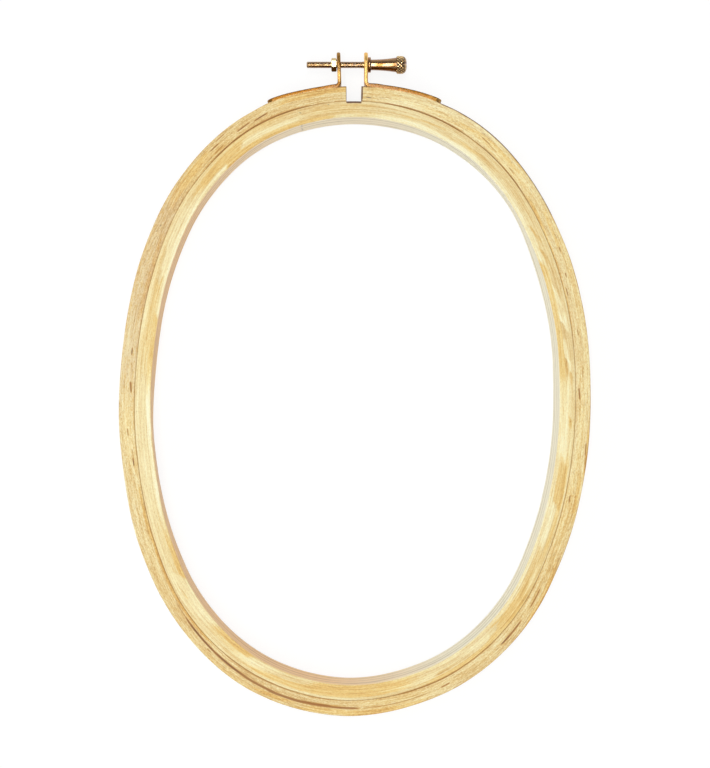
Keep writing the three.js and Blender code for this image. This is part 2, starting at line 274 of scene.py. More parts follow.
def wood(name, outer):
    """Pale beech: tones, marks and painted shade, walls tinted by painted light, and cut ends as painted on
    the ring, with noise along the grain.
    """
    t = Tree(bpy.data.materials.new(name))
    grain = t.attribute("grain", "Vector")
    tone, amber, grey = t.attribute("tone"), t.attribute("amber"), t.attribute("grey")
    mark, dark, cool = t.attribute("mark"), t.attribute("dark"), t.attribute("cool")
    side, cut = t.attribute("side"), t.attribute("cut")

    def along(length, across, deep=None, shift=0.0):
        """Grain coordinates for features of that length and width in millimetres."""
        deep = across if deep is None else deep
        scaled = t.vector("MULTIPLY", grain, (1 / length, 1 / across, 1 / deep))
        return t.vector("ADD", scaled, (shift, shift * 1.7, shift * 0.6)) if shift else scaled

    fibre = t.noise(along(15 if outer else 26, 0.62), detail=3, rough=0.6)
    broad = t.noise(along(24, 2.4, shift=7.3), detail=3, rough=0.55, distortion=0.4)
    fine = t.noise(along(3.2, 0.18, shift=2.1), detail=2, rough=0.6)
    mottle = t.noise(along(2.6, 0.75, shift=4.4), detail=3, rough=0.65)

    # tone: painted patches with their edges frayed by the fibres, and a broad drift of colour
    grit = t.noise(along(0.95, 0.42, shift=8.1), detail=2, rough=0.6)
    level = tone
    for pattern, outer_amount, inner_amount in (
        (fibre, 4.6, 4.4), (broad, 2.0, 1.7), (mottle, 3.3, 1.7), (grit, 4.0, 2.2), (fine, 2.0, 1.8),
    ):
        level = t.stir(level, pattern, outer_amount if outer else inner_amount)
    plain, warm = t.ramp(level, -2.0, 2.0, PLAIN), t.ramp(level, -2.0, 2.0, AMBER)
    colour = t.mix(t.step(amber, 0.1, 0.9), plain, warm)
    colour = t.mix(t.math("MULTIPLY", grey, t.step(mottle, 0.3, 0.6)), colour, GREYED)

    # short brown flecks
    fleck_noise = t.noise(along(1.5, 0.22, 0.5, shift=11.0), detail=1.5, rough=0.6)
    where = t.noise(along(9, 1.6, shift=5.0), detail=2)
    fleck_limit = t.math("MULTIPLY_ADD", where, -0.5, 0.90 if outer else 0.97)
    fleck = t.step(t.math("SUBTRACT", fleck_noise, fleck_limit), 0.0, 0.08)
    colour = t.mix(t.math("MULTIPLY", fleck, 0.6), colour, FLECK)

    # pores: a fine darker stipple
    pores = t.noise(along(0.9, 0.11, 0.2, shift=1.3), detail=1)
    pore = t.step(pores, 0.56, 0.66)
    colour = t.mix(t.math("MULTIPLY", pore, 0.22), colour, PORE)

    # painted marks and painted shade, with broken edges
    ragged = t.noise(along(4.5, 0.20, shift=3.7), detail=3, rough=0.7)
    mark_on = t.step(t.stir(mark, ragged, 0.9), 0.2, 0.8)
    colour = t.mix(t.math("MULTIPLY", mark_on, 0.9), colour, t.mix(t.step(mark, 0.5, 1.1), STREAK_AND_SHADE, BROWN))
    dark_level = t.stir(dark, ragged, 0.7)
    colour = t.mix(t.math("MULTIPLY", t.step(dark_level, 0.25, 0.8), 0.9), colour, DARK_MARK_AND_SHADE)

    # the walls: painted light, their colour turning from cool grey to pinkish tan round the ring as the light
    # and its reflections tint them, with the edges of thin plies showing as fine lines
    depth = t.node("ShaderNodeSeparateXYZ", {0: grain}).outputs[2]
    wander = t.noise(along(60, 5, shift=9.0), detail=1)
    plies = t.math("MULTIPLY_ADD", wander, 4.0, depth)
    line = t.math("SINE", t.math("MULTIPLY", plies, 2 * math.pi / PLY))
    faint = t.noise(along(45, 3, 3, shift=6.0), detail=2)
    ply = t.math("MULTIPLY_ADD", faint, 1.6, t.math("MULTIPLY_ADD", line, 0.5, -0.8))
    wall_colour = t.mix(cool, WARM_LIT_WALL, COOL_LIT_WALL)
    shaded = t.mix(1.0, wall_colour, PLY_SHADE, "MULTIPLY")
    wall_colour = t.mix(t.step(ply, 0.12, 0.5), wall_colour, shaded)
    wall_colour = t.mix(t.math("MULTIPLY", pore, 0.15), wall_colour, WALL_PORE)
    # the walls where the two rings face each other are plain wood, brown at the top as painted shade of the
    # line between the rings
    seam_shade_band = t.step(depth, RING_DEPTH - 1.4, RING_DEPTH - 0.4)
    hidden = t.mix(1.0, colour, HIDDEN_SHADE, "MULTIPLY")
    hidden = t.mix(seam_shade_band, hidden, SEAM_SHADE_BROWN)
    if outer:
        wall_colour = hidden
    seam = t.step(dark_level, 0.25, 0.8)
    wall_colour = t.mix(t.math("MULTIPLY", seam, 0.7), wall_colour, WALL_SEAM)
    inner_wall = t.step(side, 0.45, 0.8)
    colour = t.mix(inner_wall, colour, wall_colour)
    if not outer:
        colour = t.mix(t.step(side, -0.8, -0.45), hidden, colour)

    # cut ends: darker end grain with open pores
    end_noise = t.noise(t.vector("MULTIPLY", grain, (1, 3.2, 3.2)), detail=3, rough=0.7)
    end_colour = t.mix(t.step(end_noise, 0.35, 0.65), END_DARK, END_LIGHT)
    colour = t.mix(t.step(cut, 0.3, 0.7), colour, end_colour)

    height = t.math("MULTIPLY_ADD", fibre, 0.35, t.math("MULTIPLY", fine, 0.5))
    height = t.math("SUBTRACT", height, t.math("MULTIPLY", pore, 0.22))
    height = t.math("SUBTRACT", height, t.math("MULTIPLY", mark_on, 0.5))
    rough = t.math("MULTIPLY_ADD", fine, 0.16, 0.50)
    shader = t.node(
        "ShaderNodeBsdfPrincipled",
        {
            "Base Color": colour,
            "Roughness": rough,
            "Specular IOR Level": 0.35,
            "Normal": t.bump(height, 0.35, 0.00018),
        },
    )
    return t.close(shader)


# The oval
def arc_at(s):
    """Angle of the outward normal, and the arc's centre and radius, at a place on the hoop line."""
    s = np.mod(np.asarray(s, float), AROUND)
    left = s > 2 * QUARTER
    run = np.where(left, AROUND - s, s)
    side = run - END_ARC
    far = side - 2 * JOIN_ANGLE * SIDE_RADIUS
    angle = np.where(
        side <= 0,
        math.pi / 2 - run / END_RADIUS,
        np.where(far <= 0, JOIN_ANGLE - side / SIDE_RADIUS, -JOIN_ANGLE - far / END_RADIUS),
    )
    x = np.where((side > 0) & (far <= 0), -SIDE_CENTRE, 0.0)
    y = np.where(side <= 0, END_CENTRE, np.where(far <= 0, 0.0, -END_CENTRE))
    radius = np.where((side > 0) & (far <= 0), SIDE_RADIUS, END_RADIUS)
    angle = np.where(left, math.pi - angle, angle)
    x = np.where(left, -x, x)
    return angle, x, y, radius


# A place on the hoop line is in millimetres clockwise from the clamp, and an offset is a distance outwards.
# The wood was bent and sanded by hand, so its edges stray from the four arcs by up to about 1.5 mm, and its
# inner wall leans. Each bend runs between two places. Its heights are those of the outer edge, the line
# between the rings and the inner edge, and last the wall's lean.
BENDS = (
    (-25, 25, 1.0, 0.1, -0.2, 0.1),
    (25, 72, 0.4, 0.2, 0.6, -0.65),
    (72, 112, -0.55, -0.1, 1.1, -1.25),
    (112, 168, 0.6, 1.0, 0.65, 0.2),
    (168, 260, -0.2, 0.2, -0.45, 0.5),
    (260, 318, -1.1, -0.5, -0.8, 0.4),
    (318, 364, -0.75, -0.1, -0.15, 0.2),
    (364, 438, 0.55, 0.6, 0.8, -0.15),
    (438, 486, -0.5, 0.3, 0.3, -0.35),
    (486, 522, 0.15, 0.2, 0.8, -0.85),
    (522, 564, -0.85, -0.7, 0.4, -1.6),
    (564, 606, -1.55, -1.2, -0.9, -0.4),
    (606, 645, -1.0, -0.9, -0.5, -0.3),
    (645, 688, -1.5, -1.1, -1.0, -0.25),
    (688, 733, -0.4, 0.2, -0.05, -0.25),
)
BEND_EASE = 20


def bent(s, column):
    """All the bends together, for one edge."""
    return sum(bend[column] * near(s, bend[0], bend[1], BEND_EASE) for bend in BENDS)


def seat(hand, run):
    """How far the wood strays under the right or left strap, at a distance from the split's middle."""
    right = -0.25 - 0.27 * smooth(run, 7, 13) + 0.65 * smooth(run, 6, 37)
    left = -0.3 - 0.35 * smooth(run, 5, 12) + 0.65 * smooth(run, 16, 36)
    return np.where(np.asarray(hand) > 0, right, left)


def stray(s, offset, z=RING_DEPTH):
    """How far a point of the wood lies outside its nominal place."""
    spot = np.mod(s, AROUND)
    run = np.minimum(spot, AROUND - spot)
    clear = smooth(run, 36, 46)
    outer = bent(s, 2) * clear + seat(np.where(spot < AROUND / 2, 1, -1), run) * (1 - clear)
    seam, inner = bent(s, 3), bent(s, 4)
    share = np.clip(offset / (RING_THICKNESS + CLOTH_CLEARANCE), 0, 1)
    depth = np.clip(-offset / RING_THICKNESS, 0, 1)
    lean = bent(s, 5) * np.clip(z / RING_DEPTH, 0, 1)
    return seam + (outer - seam) * share + (inner + lean - seam) * depth


def place(s, offset, z):
    """X and Y of a point of the wood."""
    angle, x, y, radius = arc_at(s)
    out = radius + offset + stray(s, offset, z)
    return x + out * np.cos(angle), y + out * np.sin(angle)


def section(inside, outside, columns, walls, round_in, round_out):
    """Offsets, heights and wall shares round one cross-section, from the top face's outer edge inwards."""
    corner = [math.pi / 2 * k / 3 for k in range(4)]
    off, z, side = [], [], []

    def add(o, h, w):
        off.append(o)
        z.append(h)
        side.append(w)

    left, right = inside + round_in, outside - round_out
    for k in range(columns + 1):
        add(right + (left - right) * k / columns, RING_DEPTH, 0.0)
    for a in corner[1:]:
        add(left - round_in * math.sin(a), RING_DEPTH - round_in * (1 - math.cos(a)), a / (math.pi / 2))
    for k in range(1, walls + 1):
        add(inside, RING_DEPTH - round_in + (2 * round_in - RING_DEPTH) * k / walls, 1.0)
    for a in corner[1:]:
        add(left - round_in * math.cos(a), round_in * (1 - math.sin(a)), 1 - a / (math.pi / 2))
    for k in range(1, columns // 2 + 1):
        add(left + (right - left) * k / (columns // 2), 0.0, 0.0)
    for a in corner[1:]:
        add(right + round_out * math.sin(a), round_out * (1 - math.cos(a)), -a / (math.pi / 2))
    for k in range(1, walls + 1):
        add(outside, round_out + (RING_DEPTH - 2 * round_out) * k / walls, -1.0)
    for a in corner[1:-1]:
        level = RING_DEPTH - round_out * (1 - math.sin(a))
        add(right + round_out * math.cos(a), level, a / (math.pi / 2) - 1)
    return np.array(off), np.array(z), np.array(side)


STEP = 0.62  # between rows of points along the ring
FACE_COLUMNS, WALL_ROWS = 24, 10
CUT_RUN = 8  # the rows of points turn into a cut's plane over this length
CUT_LOOPS = ((0.07, 0.13), (0.22, 0.20))  # a cut's broken edge: how far each loop is drawn in and stands out
RING_GAP, GAP_PLAY, SEAM_GAP = 0.04, 0.025, 0.06  # between the rings, its unevenness, what dark seams add
MID_RADIUS = END_RADIUS + RING_THICKNESS / 2


def cut_place(x, radius=MID_RADIUS):
    """The place on the hoop line where a cut at X crosses an arc of that radius at the top."""
    return np.arcsin(abs(x) / radius) * END_RADIUS


def ring(name, start, end, inside, outside, material, painter, roundings, cut_at=None, seed=1):
    """A stretch of ring between two places on the hoop line; a whole turn closes on itself.

    cut_at is the X of the cut end: the start of the right half, the end of the left half.
    """
    offsets, heights, side = section(inside, outside, FACE_COLUMNS, WALL_ROWS, *roundings)
    whole = cut_at is None
    length = end - start
    count = int(round(length / STEP))
    across = len(offsets)
    steps = np.arange(count if whole else count + 1) / count
    if not whole:
        # one more row just short of the cut, so that its broken edge stays narrow
        at_start = cut_at > 0
        steps = np.insert(steps, *((1, 0.4 / length) if at_start else (-1, 1 - 0.15 / length)))
    rows = len(steps)
    along = np.repeat((start + length * steps)[:, None], across, 1)
    offset = np.repeat(offsets[None], rows, 0)
    height = np.repeat(heights[None], rows, 0)
    if not whole:
        # the rows near the cut turn gradually into its plane
        run = np.abs(steps - (0 if at_start else 1)) * length
        turn = np.sign(cut_at) * (cut_place(cut_at, END_RADIUS + offsets) - cut_place(cut_at))
        along = along + turn[None] * np.clip(1 - run / CUT_RUN, 0, 1)[:, None]
    # slight unevenness of the sanded walls and edges
    loose = np.clip(-side, 0, 1) if inside > -1 else np.clip(side, 0, 1)
    rough = 0.05 * noise(along / 21, height / 9 + 5, seed) + 0.03 * noise(along / 6.5, height / 3, seed + 1)
    moved = offset + rough * loose[None]
    edge = np.clip(1 - np.abs(height - RING_DEPTH) / 0.6, 0, 1)
    height = height + 0.03 * noise(along / 9, offset / 2.2, seed + 2) * edge
    if inside > -1:
        # the outer ring touches the inner ring in places and stands off a little in others
        gap = RING_GAP + GAP_PLAY * noise(along / 34, 0 * along, seed + 3)
        gap = gap + SEAM_GAP * stretches(along, DARK_SEAM)
        moved = moved + (gap - CLOTH_CLEARANCE) * np.clip(side, 0, 1)[None]
    points = np.stack([*place(along, moved, height), height], -1).reshape(-1, 3)
    faces = []
    for row in range(count if whole else rows - 1):
        here, there = row * across, ((row + 1) % rows) * across
        for j in range(across):
            k = (j + 1) % across
            faces.append((here + j, here + k, there + k, there + j))
    along, offset, height = along.ravel(), offset.ravel(), height.ravel()
    sides = np.tile(side, rows)
    cut = np.zeros(rows * across)
    if not whole:
        # the cut end is drawn in twice, so that its edge is broken, and closed by a flat face
        last = 0 if at_start else (rows - 1) * across
        other = tuple(range((rows - 1) * across, rows * across)) if at_start else tuple(range(across))[::-1]
        faces.append(other)
        cut[last: last + across] = 0.6
        rim = last + np.arange(across)
        for inset, push in CUT_LOOPS:
            drawn = offsets + np.clip((inside + outside) / 2 - offsets, -inset, inset)
            level = heights + np.clip(RING_DEPTH / 2 - heights, -inset, inset)
            x, y = place(along[last: last + across], drawn, level)
            first = len(points)
            points = np.vstack([points, np.stack([x - math.copysign(push, cut_at), y, level], -1)])
            along = np.concatenate([along, along[last: last + across]])
            offset, height = np.concatenate([offset, drawn]), np.concatenate([height, level])
            sides, cut = np.concatenate([sides, 0 * side]), np.concatenate([cut, 1 + 0 * side])
            now = first + np.arange(across)
            for j in range(across):
                k = (j + 1) % across
                quad = (int(rim[j]), int(rim[k]), int(now[k]), int(now[j]))
                faces.append(quad[::-1] if at_start else quad)
            rim = now
        faces.append(tuple(int(i) for i in (rim[::-1] if at_start else rim)))
    obj = link(name, points, faces, material)
    painted = painter(along, offset, height, sides)
    paint(obj, "grain", np.stack([along, offset + painted.pop("drift"), height], -1))
    for key, values in {**painted, "side": sides, "cut": cut}.items():
        paint(obj, key, values)
    turn_outwards(obj, sharp=50)
    return obj


# Painting the wood
def stroke(along, across, start, low, end, high, width, taper=0.25):
    """A dash from one place and offset to another, 1 on its line and 0 past its width."""
    share = (np.mod(along - start + AROUND / 2, AROUND) - AROUND / 2) / (end - start)
    line = low + (high - low) * share
    ends = smooth(share, -0.02, taper) * (1 - smooth(share, 1 - taper, 1.02))
    return np.clip(1.15 - np.abs(across - line) / width, 0, 1) * ends


def streaks(along, across, rows, gain=1.0, wider=1.0):
    """The strongest of the streaks at each point."""
    total = 0 * along
    for start, low, end, high, width, strength in rows:
        dash = stroke(along, across, start, low, end, high, wider * width)
        total = np.maximum(total, gain * strength * dash)
    return total


def patch(along, across, s0, s1, r0, r1, slope=0.0, start=0.8, end=0.8, seed=3):
    """A patch between two places and two offsets; start and end are the softness of its ends.

    Its ends lean and fray where the fibres run out.
    """
    spot = np.mod(along - (s0 + s1) / 2 + AROUND / 2, AROUND) - AROUND / 2
    fray = np.where(spot < 0, min(start, 5), min(end, 5)) * 0.6 + 0.25
    comb = noise(across / 0.45, along / 30, seed) + 0.5 * noise(across / 1.1, along / 20, seed + 9)
    spot = spot + fray * comb - 1.6 * (across - (r0 + r1) / 2)
    half = (s1 - s0) / 2
    level = across - slope * spot + 0.2 * noise(along / 6, 0 * along, seed + 4)
    inside = smooth(level, r1 - 0.2, r1 + 0.2) * (1 - smooth(level, r0 - 0.2, r0 + 0.2))
    return smooth(spot, -half - start, -half + start) * (1 - smooth(spot, half - end, half + end)) * inside


# Where the line between the two rings is widest and darkest, by a wider gap and by painted shade: start, end,
# softness and strength
DARK_SEAM = (
    (16, 50, 8, 1.0), (60, 92, 8, 0.45), (684, 730, 6, 1.0), (405, 440, 8, 0.4), (285, 360, 15, 0.35),
)
# Paler and deeper stretches of each ring: start, end, softness and how much paler
OUTER_TONES = (
    (345, 470, 40, -0.5), (640, 748, 20, -0.6), (240, 345, 25, -0.3), (-30, 120, 30, 0.2),
    (600, 655, 12, -0.6), (188, 235, 15, 0.2),
)
INNER_TONES = ((180, 240, 25, 0.45), (500, 655, 30, 0.4), (-20, 185, 30, 0.35), (655, 747, 15, -0.2))
# Streaks seen in the wood: start and its offset, end and its offset, half width and strength
OUTER_STREAKS = (
    (14, 3.0, 17, 3.0, 0.3, 0.6), (26, 3.8, 30, 3.9, 0.3, 0.5), (37, 3.7, 44, 3.6, 0.35, 0.6),
    (41, 4.9, 44, 4.9, 0.3, 0.5), (59, 3.7, 66, 3.3, 0.45, 0.7), (64, 2.9, 70, 2.8, 0.35, 0.6),
    (77, 2.1, 82, 2.0, 0.35, 0.7), (50, 4.6, 58, 4.5, 0.3, 0.4), (118.5, 4.6, 122, 4.7, 0.4, 0.8),
    (130.5, 3.8, 133.5, 3.7, 0.35, 0.9), (137, 2.3, 142, 2.4, 0.35, 0.9), (156, 3.5, 160, 3.7, 0.35, 0.8),
    (174, 3.8, 179, 3.9, 0.35, 0.6), (182, 1.7, 189, 2.3, 0.45, 1.0), (206, 5.8, 214, 6.2, 0.5, 0.8),
    (211, 6.5, 221.5, 6.9, 0.4, 0.8), (230.5, 2.3, 235, 2.5, 0.45, 0.9), (262, 4.1, 268, 4.0, 0.5, 0.5),
    (263, 3.2, 267, 3.3, 0.3, 0.6), (273, 2.7, 286, 2.9, 0.42, 0.9), (289, 2.8, 307, 3.1, 0.55, 1.0),
    (299, 4.2, 305, 4.2, 0.35, 0.6), (332, 3.2, 338, 3.4, 0.42, 0.9), (337, 3.2, 378, 4.3, 0.34, 0.7),
    (372, 4.15, 390, 4.0, 0.6, 1.1), (384, 3.8, 402, 4.05, 0.75, 1.25), (394, 4.15, 418, 4.2, 0.7, 1.25),
    (408, 4.0, 430, 3.6, 0.6, 1.3), (422, 3.65, 447, 2.75, 0.6, 1.4), (438, 3.0, 466, 2.1, 0.5, 1.4),
    (443.5, 4.1, 447, 4.1, 0.35, 0.8), (460, 2.2, 472, 2.0, 0.4, 0.7), (534, 1.4, 539, 1.4, 0.42, 1.0),
    (538, 1.3, 543, 1.2, 0.3, 0.7), (547.5, 2.4, 552.5, 2.8, 0.42, 0.7), (567, 0.5, 573.5, 1.1, 0.6, 0.9),
    (584, 1.3, 588.5, 1.4, 0.45, 0.9), (631, 1.3, 651, 1.5, 0.3, 0.55), (682.5, 3.2, 689.5, 3.4, 0.36, 1.0),
    (687, 4.8, 694, 5.2, 0.4, 0.7), (697, 2.4, 706, 3.2, 0.42, 1.0), (705.5, 2.4, 715, 3.4, 0.45, 1.0),
    (683, 1.0, 691, 1.5, 0.5, 0.7), (569, 3.9, 574, 3.8, 0.3, 0.6), (640, 3.6, 645, 3.5, 0.3, 0.6),
)
OUTER_DARK_STREAKS = (
    (426, 3.5, 444, 2.75, 0.26, 0.85), (440, 2.9, 462, 2.2, 0.28, 0.85), (298, 2.95, 306, 3.05, 0.25, 0.85),
    (699, 2.65, 704, 3.0, 0.2, 0.85), (708, 2.7, 714, 3.2, 0.2, 0.85), (4.6, 2.2, 8.4, 1.9, 0.32, 0.85),
    (534.5, 1.4, 537.5, 1.4, 0.25, 0.85), (585, 1.3, 587.5, 1.4, 0.3, 0.85),
    (640.5, 3.6, 642, 3.6, 0.3, 0.85), (643.5, 2.9, 645, 2.9, 0.3, 0.85),
)
INNER_STREAKS = (
    (332.5, -2.5, 337, -2.2, 0.45, 0.7), (197, -1.6, 199, -2.4, 0.7, 0.55),
    (471, -3.3, 476, -2.9, 0.35, 0.6), (106.8, -4.3, 109.5, -3.2, 0.4, 0.5),
    (118.8, -4.3, 121.5, -3.0, 0.4, 0.5), (152.6, -4.3, 153.6, -2.9, 0.4, 0.45),
    (169.2, -4.2, 170.2, -2.9, 0.4, 0.45), (175.7, -2.5, 176.2, -1.3, 0.4, 0.4),
    (393, -2.4, 397, -2.6, 0.4, 0.4), (299, -2.4, 303, -3.0, 0.5, 0.4), (591, -3.3, 596, -3.0, 0.3, 0.5),
    (47, -2.6, 48, -2.6, 0.3, 0.5),
)
INNER_DARK_STREAKS = (
    (727.0, -1.6, 728.2, -2.2, 0.4, 0.75), (740.4, -0.7, 741.6, -1.0, 0.4, 0.75),
)
# Patches seen in the wood: start, end, the two offsets and how much paler
OUTER_PATCHES = (
    (446, 524, 1.5, 0.3, -1.1), (600, 640, 0.9, -0.6, -1.1), (683, 692, 1.8, 0.6, -0.9),
    (94, 152, 1.6, 0.3, -0.8), (76, 88, 7.3, 5.9, -1.0), (200, 222, 7.2, 6.1, -0.9),
    (222, 240, 6.2, 4.6, -0.7), (262, 290, 6.3, 4.4, -0.6), (735, 751, 7.3, 4.2, -0.8),
    (385, 400, 4.6, 3.2, -1.0), (345, 400, 7.3, 5.0, -0.5), (405, 420, 6.5, 4.8, -0.7),
    (654, 680, 4.5, 1.0, -0.5), (100, 122, 5.2, 3.8, -0.5), (50, 84, 4.8, 2.6, -0.4),
    (720, 740, 6.5, 4.0, -0.5),
)
# The same with a slope and the softness of both ends before how much paler, and the amber last
INNER_PATCHES = (
    (-30, 60, -0.3, -4.6, 0.0, 9, 14, -0.25, 0.1), (12, 122, -5.2, -7.2, 0.0, 8, 1.2, 0.75, 0.2),
    (24, 44, -2.6, -3.6, 0.07, 6, 3, -0.5, 0.6), (52, 72, -3.0, -4.2, 0.03, 5, 7, -0.7, 0.9),
    (84, 100, -3.1, -3.9, 0.05, 4, 6, -0.5, 0.5), (60, 126, -0.2, -4.2, 0.0, 14, 5, -0.35, 0.3),
    (106.5, 113, -3.0, -4.3, 0.22, 0.5, 4, -0.8, 0.6), (118.5, 126, -2.4, -4.2, 0.25, 0.5, 5, -0.8, 0.6),
    (124, 190, -4.3, -6.9, 0.0, 1.0, 12, -0.75, 1.0), (128, 178, -0.5, -4.2, 0.0, 8, 1, -0.4, 0.2),
    (136, 143.5, -2.6, -4.4, 0.1, 2, 0.7, 0.95, 0.2), (148.5, 156.5, -1.4, -2.9, 0.06, 2.5, 0.5, 1.1, 0.1),
    (149, 152.6, -2.7, -4.4, 0.1, 1.5, 0.4, 1.0, 0.1), (161, 169.5, -2.6, -4.4, 0.1, 3, 0.5, 1.0, 0.2),
    (152.8, 160, -2.9, -4.4, 0.1, 0.4, 3, -0.7, 0.3), (169.6, 177, -3.1, -4.4, 0.08, 0.4, 3, -0.7, 0.6),
    (170.5, 175.4, -1.3, -2.5, 0.0, 0.7, 0.4, 0.9, 0.2), (175.6, 181, -1.3, -2.5, 0.0, 0.4, 2, -0.5, 0.6),
    (180, 216, -2.4, -6.8, 0.0, 4, 2, 0.65, 0.5), (196.4, 200.6, -1.3, -2.8, 0.0, 0.4, 1.5, -1.1, 0.7),
    (216, 237, -1.3, -5.2, 0.02, 1, 0.8, -0.75, 0.7), (214, 262, -0.9, -2.3, 0.0, 2, 10, -0.5, 0.8),
    (237, 258, -2.8, -5.4, -0.03, 0.8, 1.5, 0.55, 0.2), (258, 282, -1.0, -5.2, 0.0, 1, 5, -0.25, 0.5),
    (235, 300, -5.6, -7.1, 0.0, 4, 8, 0.65, 0.3), (276, 306, -1.2, -5.0, -0.04, 6, 0.8, -0.6, 0.7),
    (299, 322, -3.0, -5.0, -0.05, 0.8, 6, 0.6, 0.1), (284, 345, 0.0, -1.6, 0.0, 8, 10, -0.7, 0.9),
    (329, 337, -2.0, -3.2, 0.0, 3, 0.6, -1.1, 0.4), (318, 360, -5.6, -6.9, 0.0, 6, 2.5, 0.6, 0.3),
    (350, 418, -1.4, -6.6, 0.0, 12, 6, -0.65, 1.0), (398, 432, -3.6, -6.4, 0.02, 4, 3, 0.6, 0.2),
    (428, 452, -4.8, -7.1, -0.03, 1.2, 3, -0.9, 0.9), (452, 480, -3.0, -7.1, 0.0, 3, 0.7, 0.45, 0.2),
    (470, 476, -2.6, -3.2, 0.05, 0.8, 2, -0.7, 0.8), (479.3, 512, -4.9, -7.1, 0.0, 0.4, 14, -0.7, 0.9),
    (440, 575, -0.2, -3.0, 0.0, 12, 12, 0.1, 0.2), (500, 580, -5.0, -6.6, 0.0, 14, 8, 1.0, 0.1),
    (576, 596, -3.4, -3.9, 0.05, 3, 1, -0.6, 0.6), (584, 592, -4.3, -4.9, 0.04, 2, 1, -0.5, 0.6),
    (568, 604, -4.9, -7.2, 0.0, 6, 0.8, -0.6, 0.9), (604.5, 660, -5.3, -7.2, 0.03, 0.5, 10, 0.75, 0.1),
    (592, 624, -2.7, -5.0, 0.0, 6, 1.0, -0.6, 0.6), (610, 635, -1.6, -3.0, 0.0, 8, 1.0, -0.55, 0.4),
    (620, 668, -2.2, -4.4, 0.0, 1, 8, 0.4, 0.1), (655, 684, -5.2, -7.2, 0.0, 8, 0.9, 0.7, 0.2),
    (666, 696, -1.6, -4.6, 0.0, 9, 0.8, -0.65, 0.8), (684, 740, -5.0, -7.2, 0.0, 0.8, 8, -0.75, 1.0),
    (696.5, 744, -2.8, -4.6, 0.0, 0.5, 12, 0.6, 0.1), (743, 752, -5.8, -6.9, 0.0, 0.4, 4, 0.6, 0.1),
    (728, 760, -0.8, -5.6, 0.0, 8, 6, -0.35, 0.4),
)
# Where the ends of the inner ring's strip meet
INNER_JOINT = 726.6


def paint_outer(along, offset, height, side):
    """Patches, streaks and dark edges of the outer ring, and painted shade along the line between the rings.
    """
    on_top = smooth(height, RING_DEPTH - 0.8, RING_DEPTH - 0.1)
    across = offset + stray(along, offset)
    drift = 1.1 * noise(along / 75, 0 * along, 21) + 0.8 * noise(along / 26, across / 6, 22)
    tone = 0.05 + 0.3 * noise(along / 60, across / 3.5, 23) + stretches(along, OUTER_TONES)
    amber = 0.3 + 0.3 * noise(along / 40, across / 3, 27)
    mark = streaks(along, across, OUTER_STREAKS, gain=1.15, wider=1.15)
    dark = streaks(along, across, OUTER_DARK_STREAKS)
    for s0, s1, r0, r1, value in OUTER_PATCHES:
        here = patch(along, across, s0, s1, r0, r1, end=4, start=4, seed=31)
        tone = tone + value * here
        amber = np.maximum(amber, 0.9 * here)
    # the line between the rings: painted shade, as a darker tone and a brown mark
    seam = np.clip(1.2 - (offset - CLOTH_CLEARANCE) / 0.36, 0, 1)
    seam_shade = 0.42 + 0.3 * noise(along / 23, 0 * along, 24)
    strong = stretches(along, DARK_SEAM)
    tone = tone - seam * (0.8 * seam_shade + 0.8 * strong)
    mark = np.maximum(mark, seam * np.clip(strong * 0.95 + seam_shade * 0.6 + 0.22, 0, 1) * on_top)
    # the outer edge, darkest at the split and beyond the right strap
    split = near(along, -9, 9, 2)
    edge_line = 0.42 + 0.35 * split + 0.25 * near(along, 36, 108, 3)
    rim = np.clip(1.3 - (CLOTH_CLEARANCE + RING_THICKNESS - offset) / edge_line, 0, 1)
    outline = 0.38 + 0.3 * noise(along / 14, 0 * along, 25) + 0.8 * split
    outline = outline + stretches(along, ((36, 112, 5, 0.45), (100, 320, 20, 0.2)))
    tone = tone - 0.8 * rim * near(along, 100, 330, 20)
    mark = np.maximum(mark, np.clip(outline, 0, 1) * rim * on_top)
    dark = np.maximum(dark, rim * on_top * (0.5 * split + 0.75 * near(along, 36, 106, 3)))
    # the cut on the right has a dark edge
    dark = np.maximum(dark, 0.85 * near(along, 0, 3.98, 0.12))
    return {
        "drift": drift,
        "tone": tone,
        "grey": 0.35 * near(along, 565, 660, 12),
        "amber": np.clip(amber, 0, 1),
        "mark": mark * np.where(np.abs(side) > 0.6, 0.3, 1.0),
        "dark": dark * on_top,
        "cool": 0.4 + 0 * along,
    }


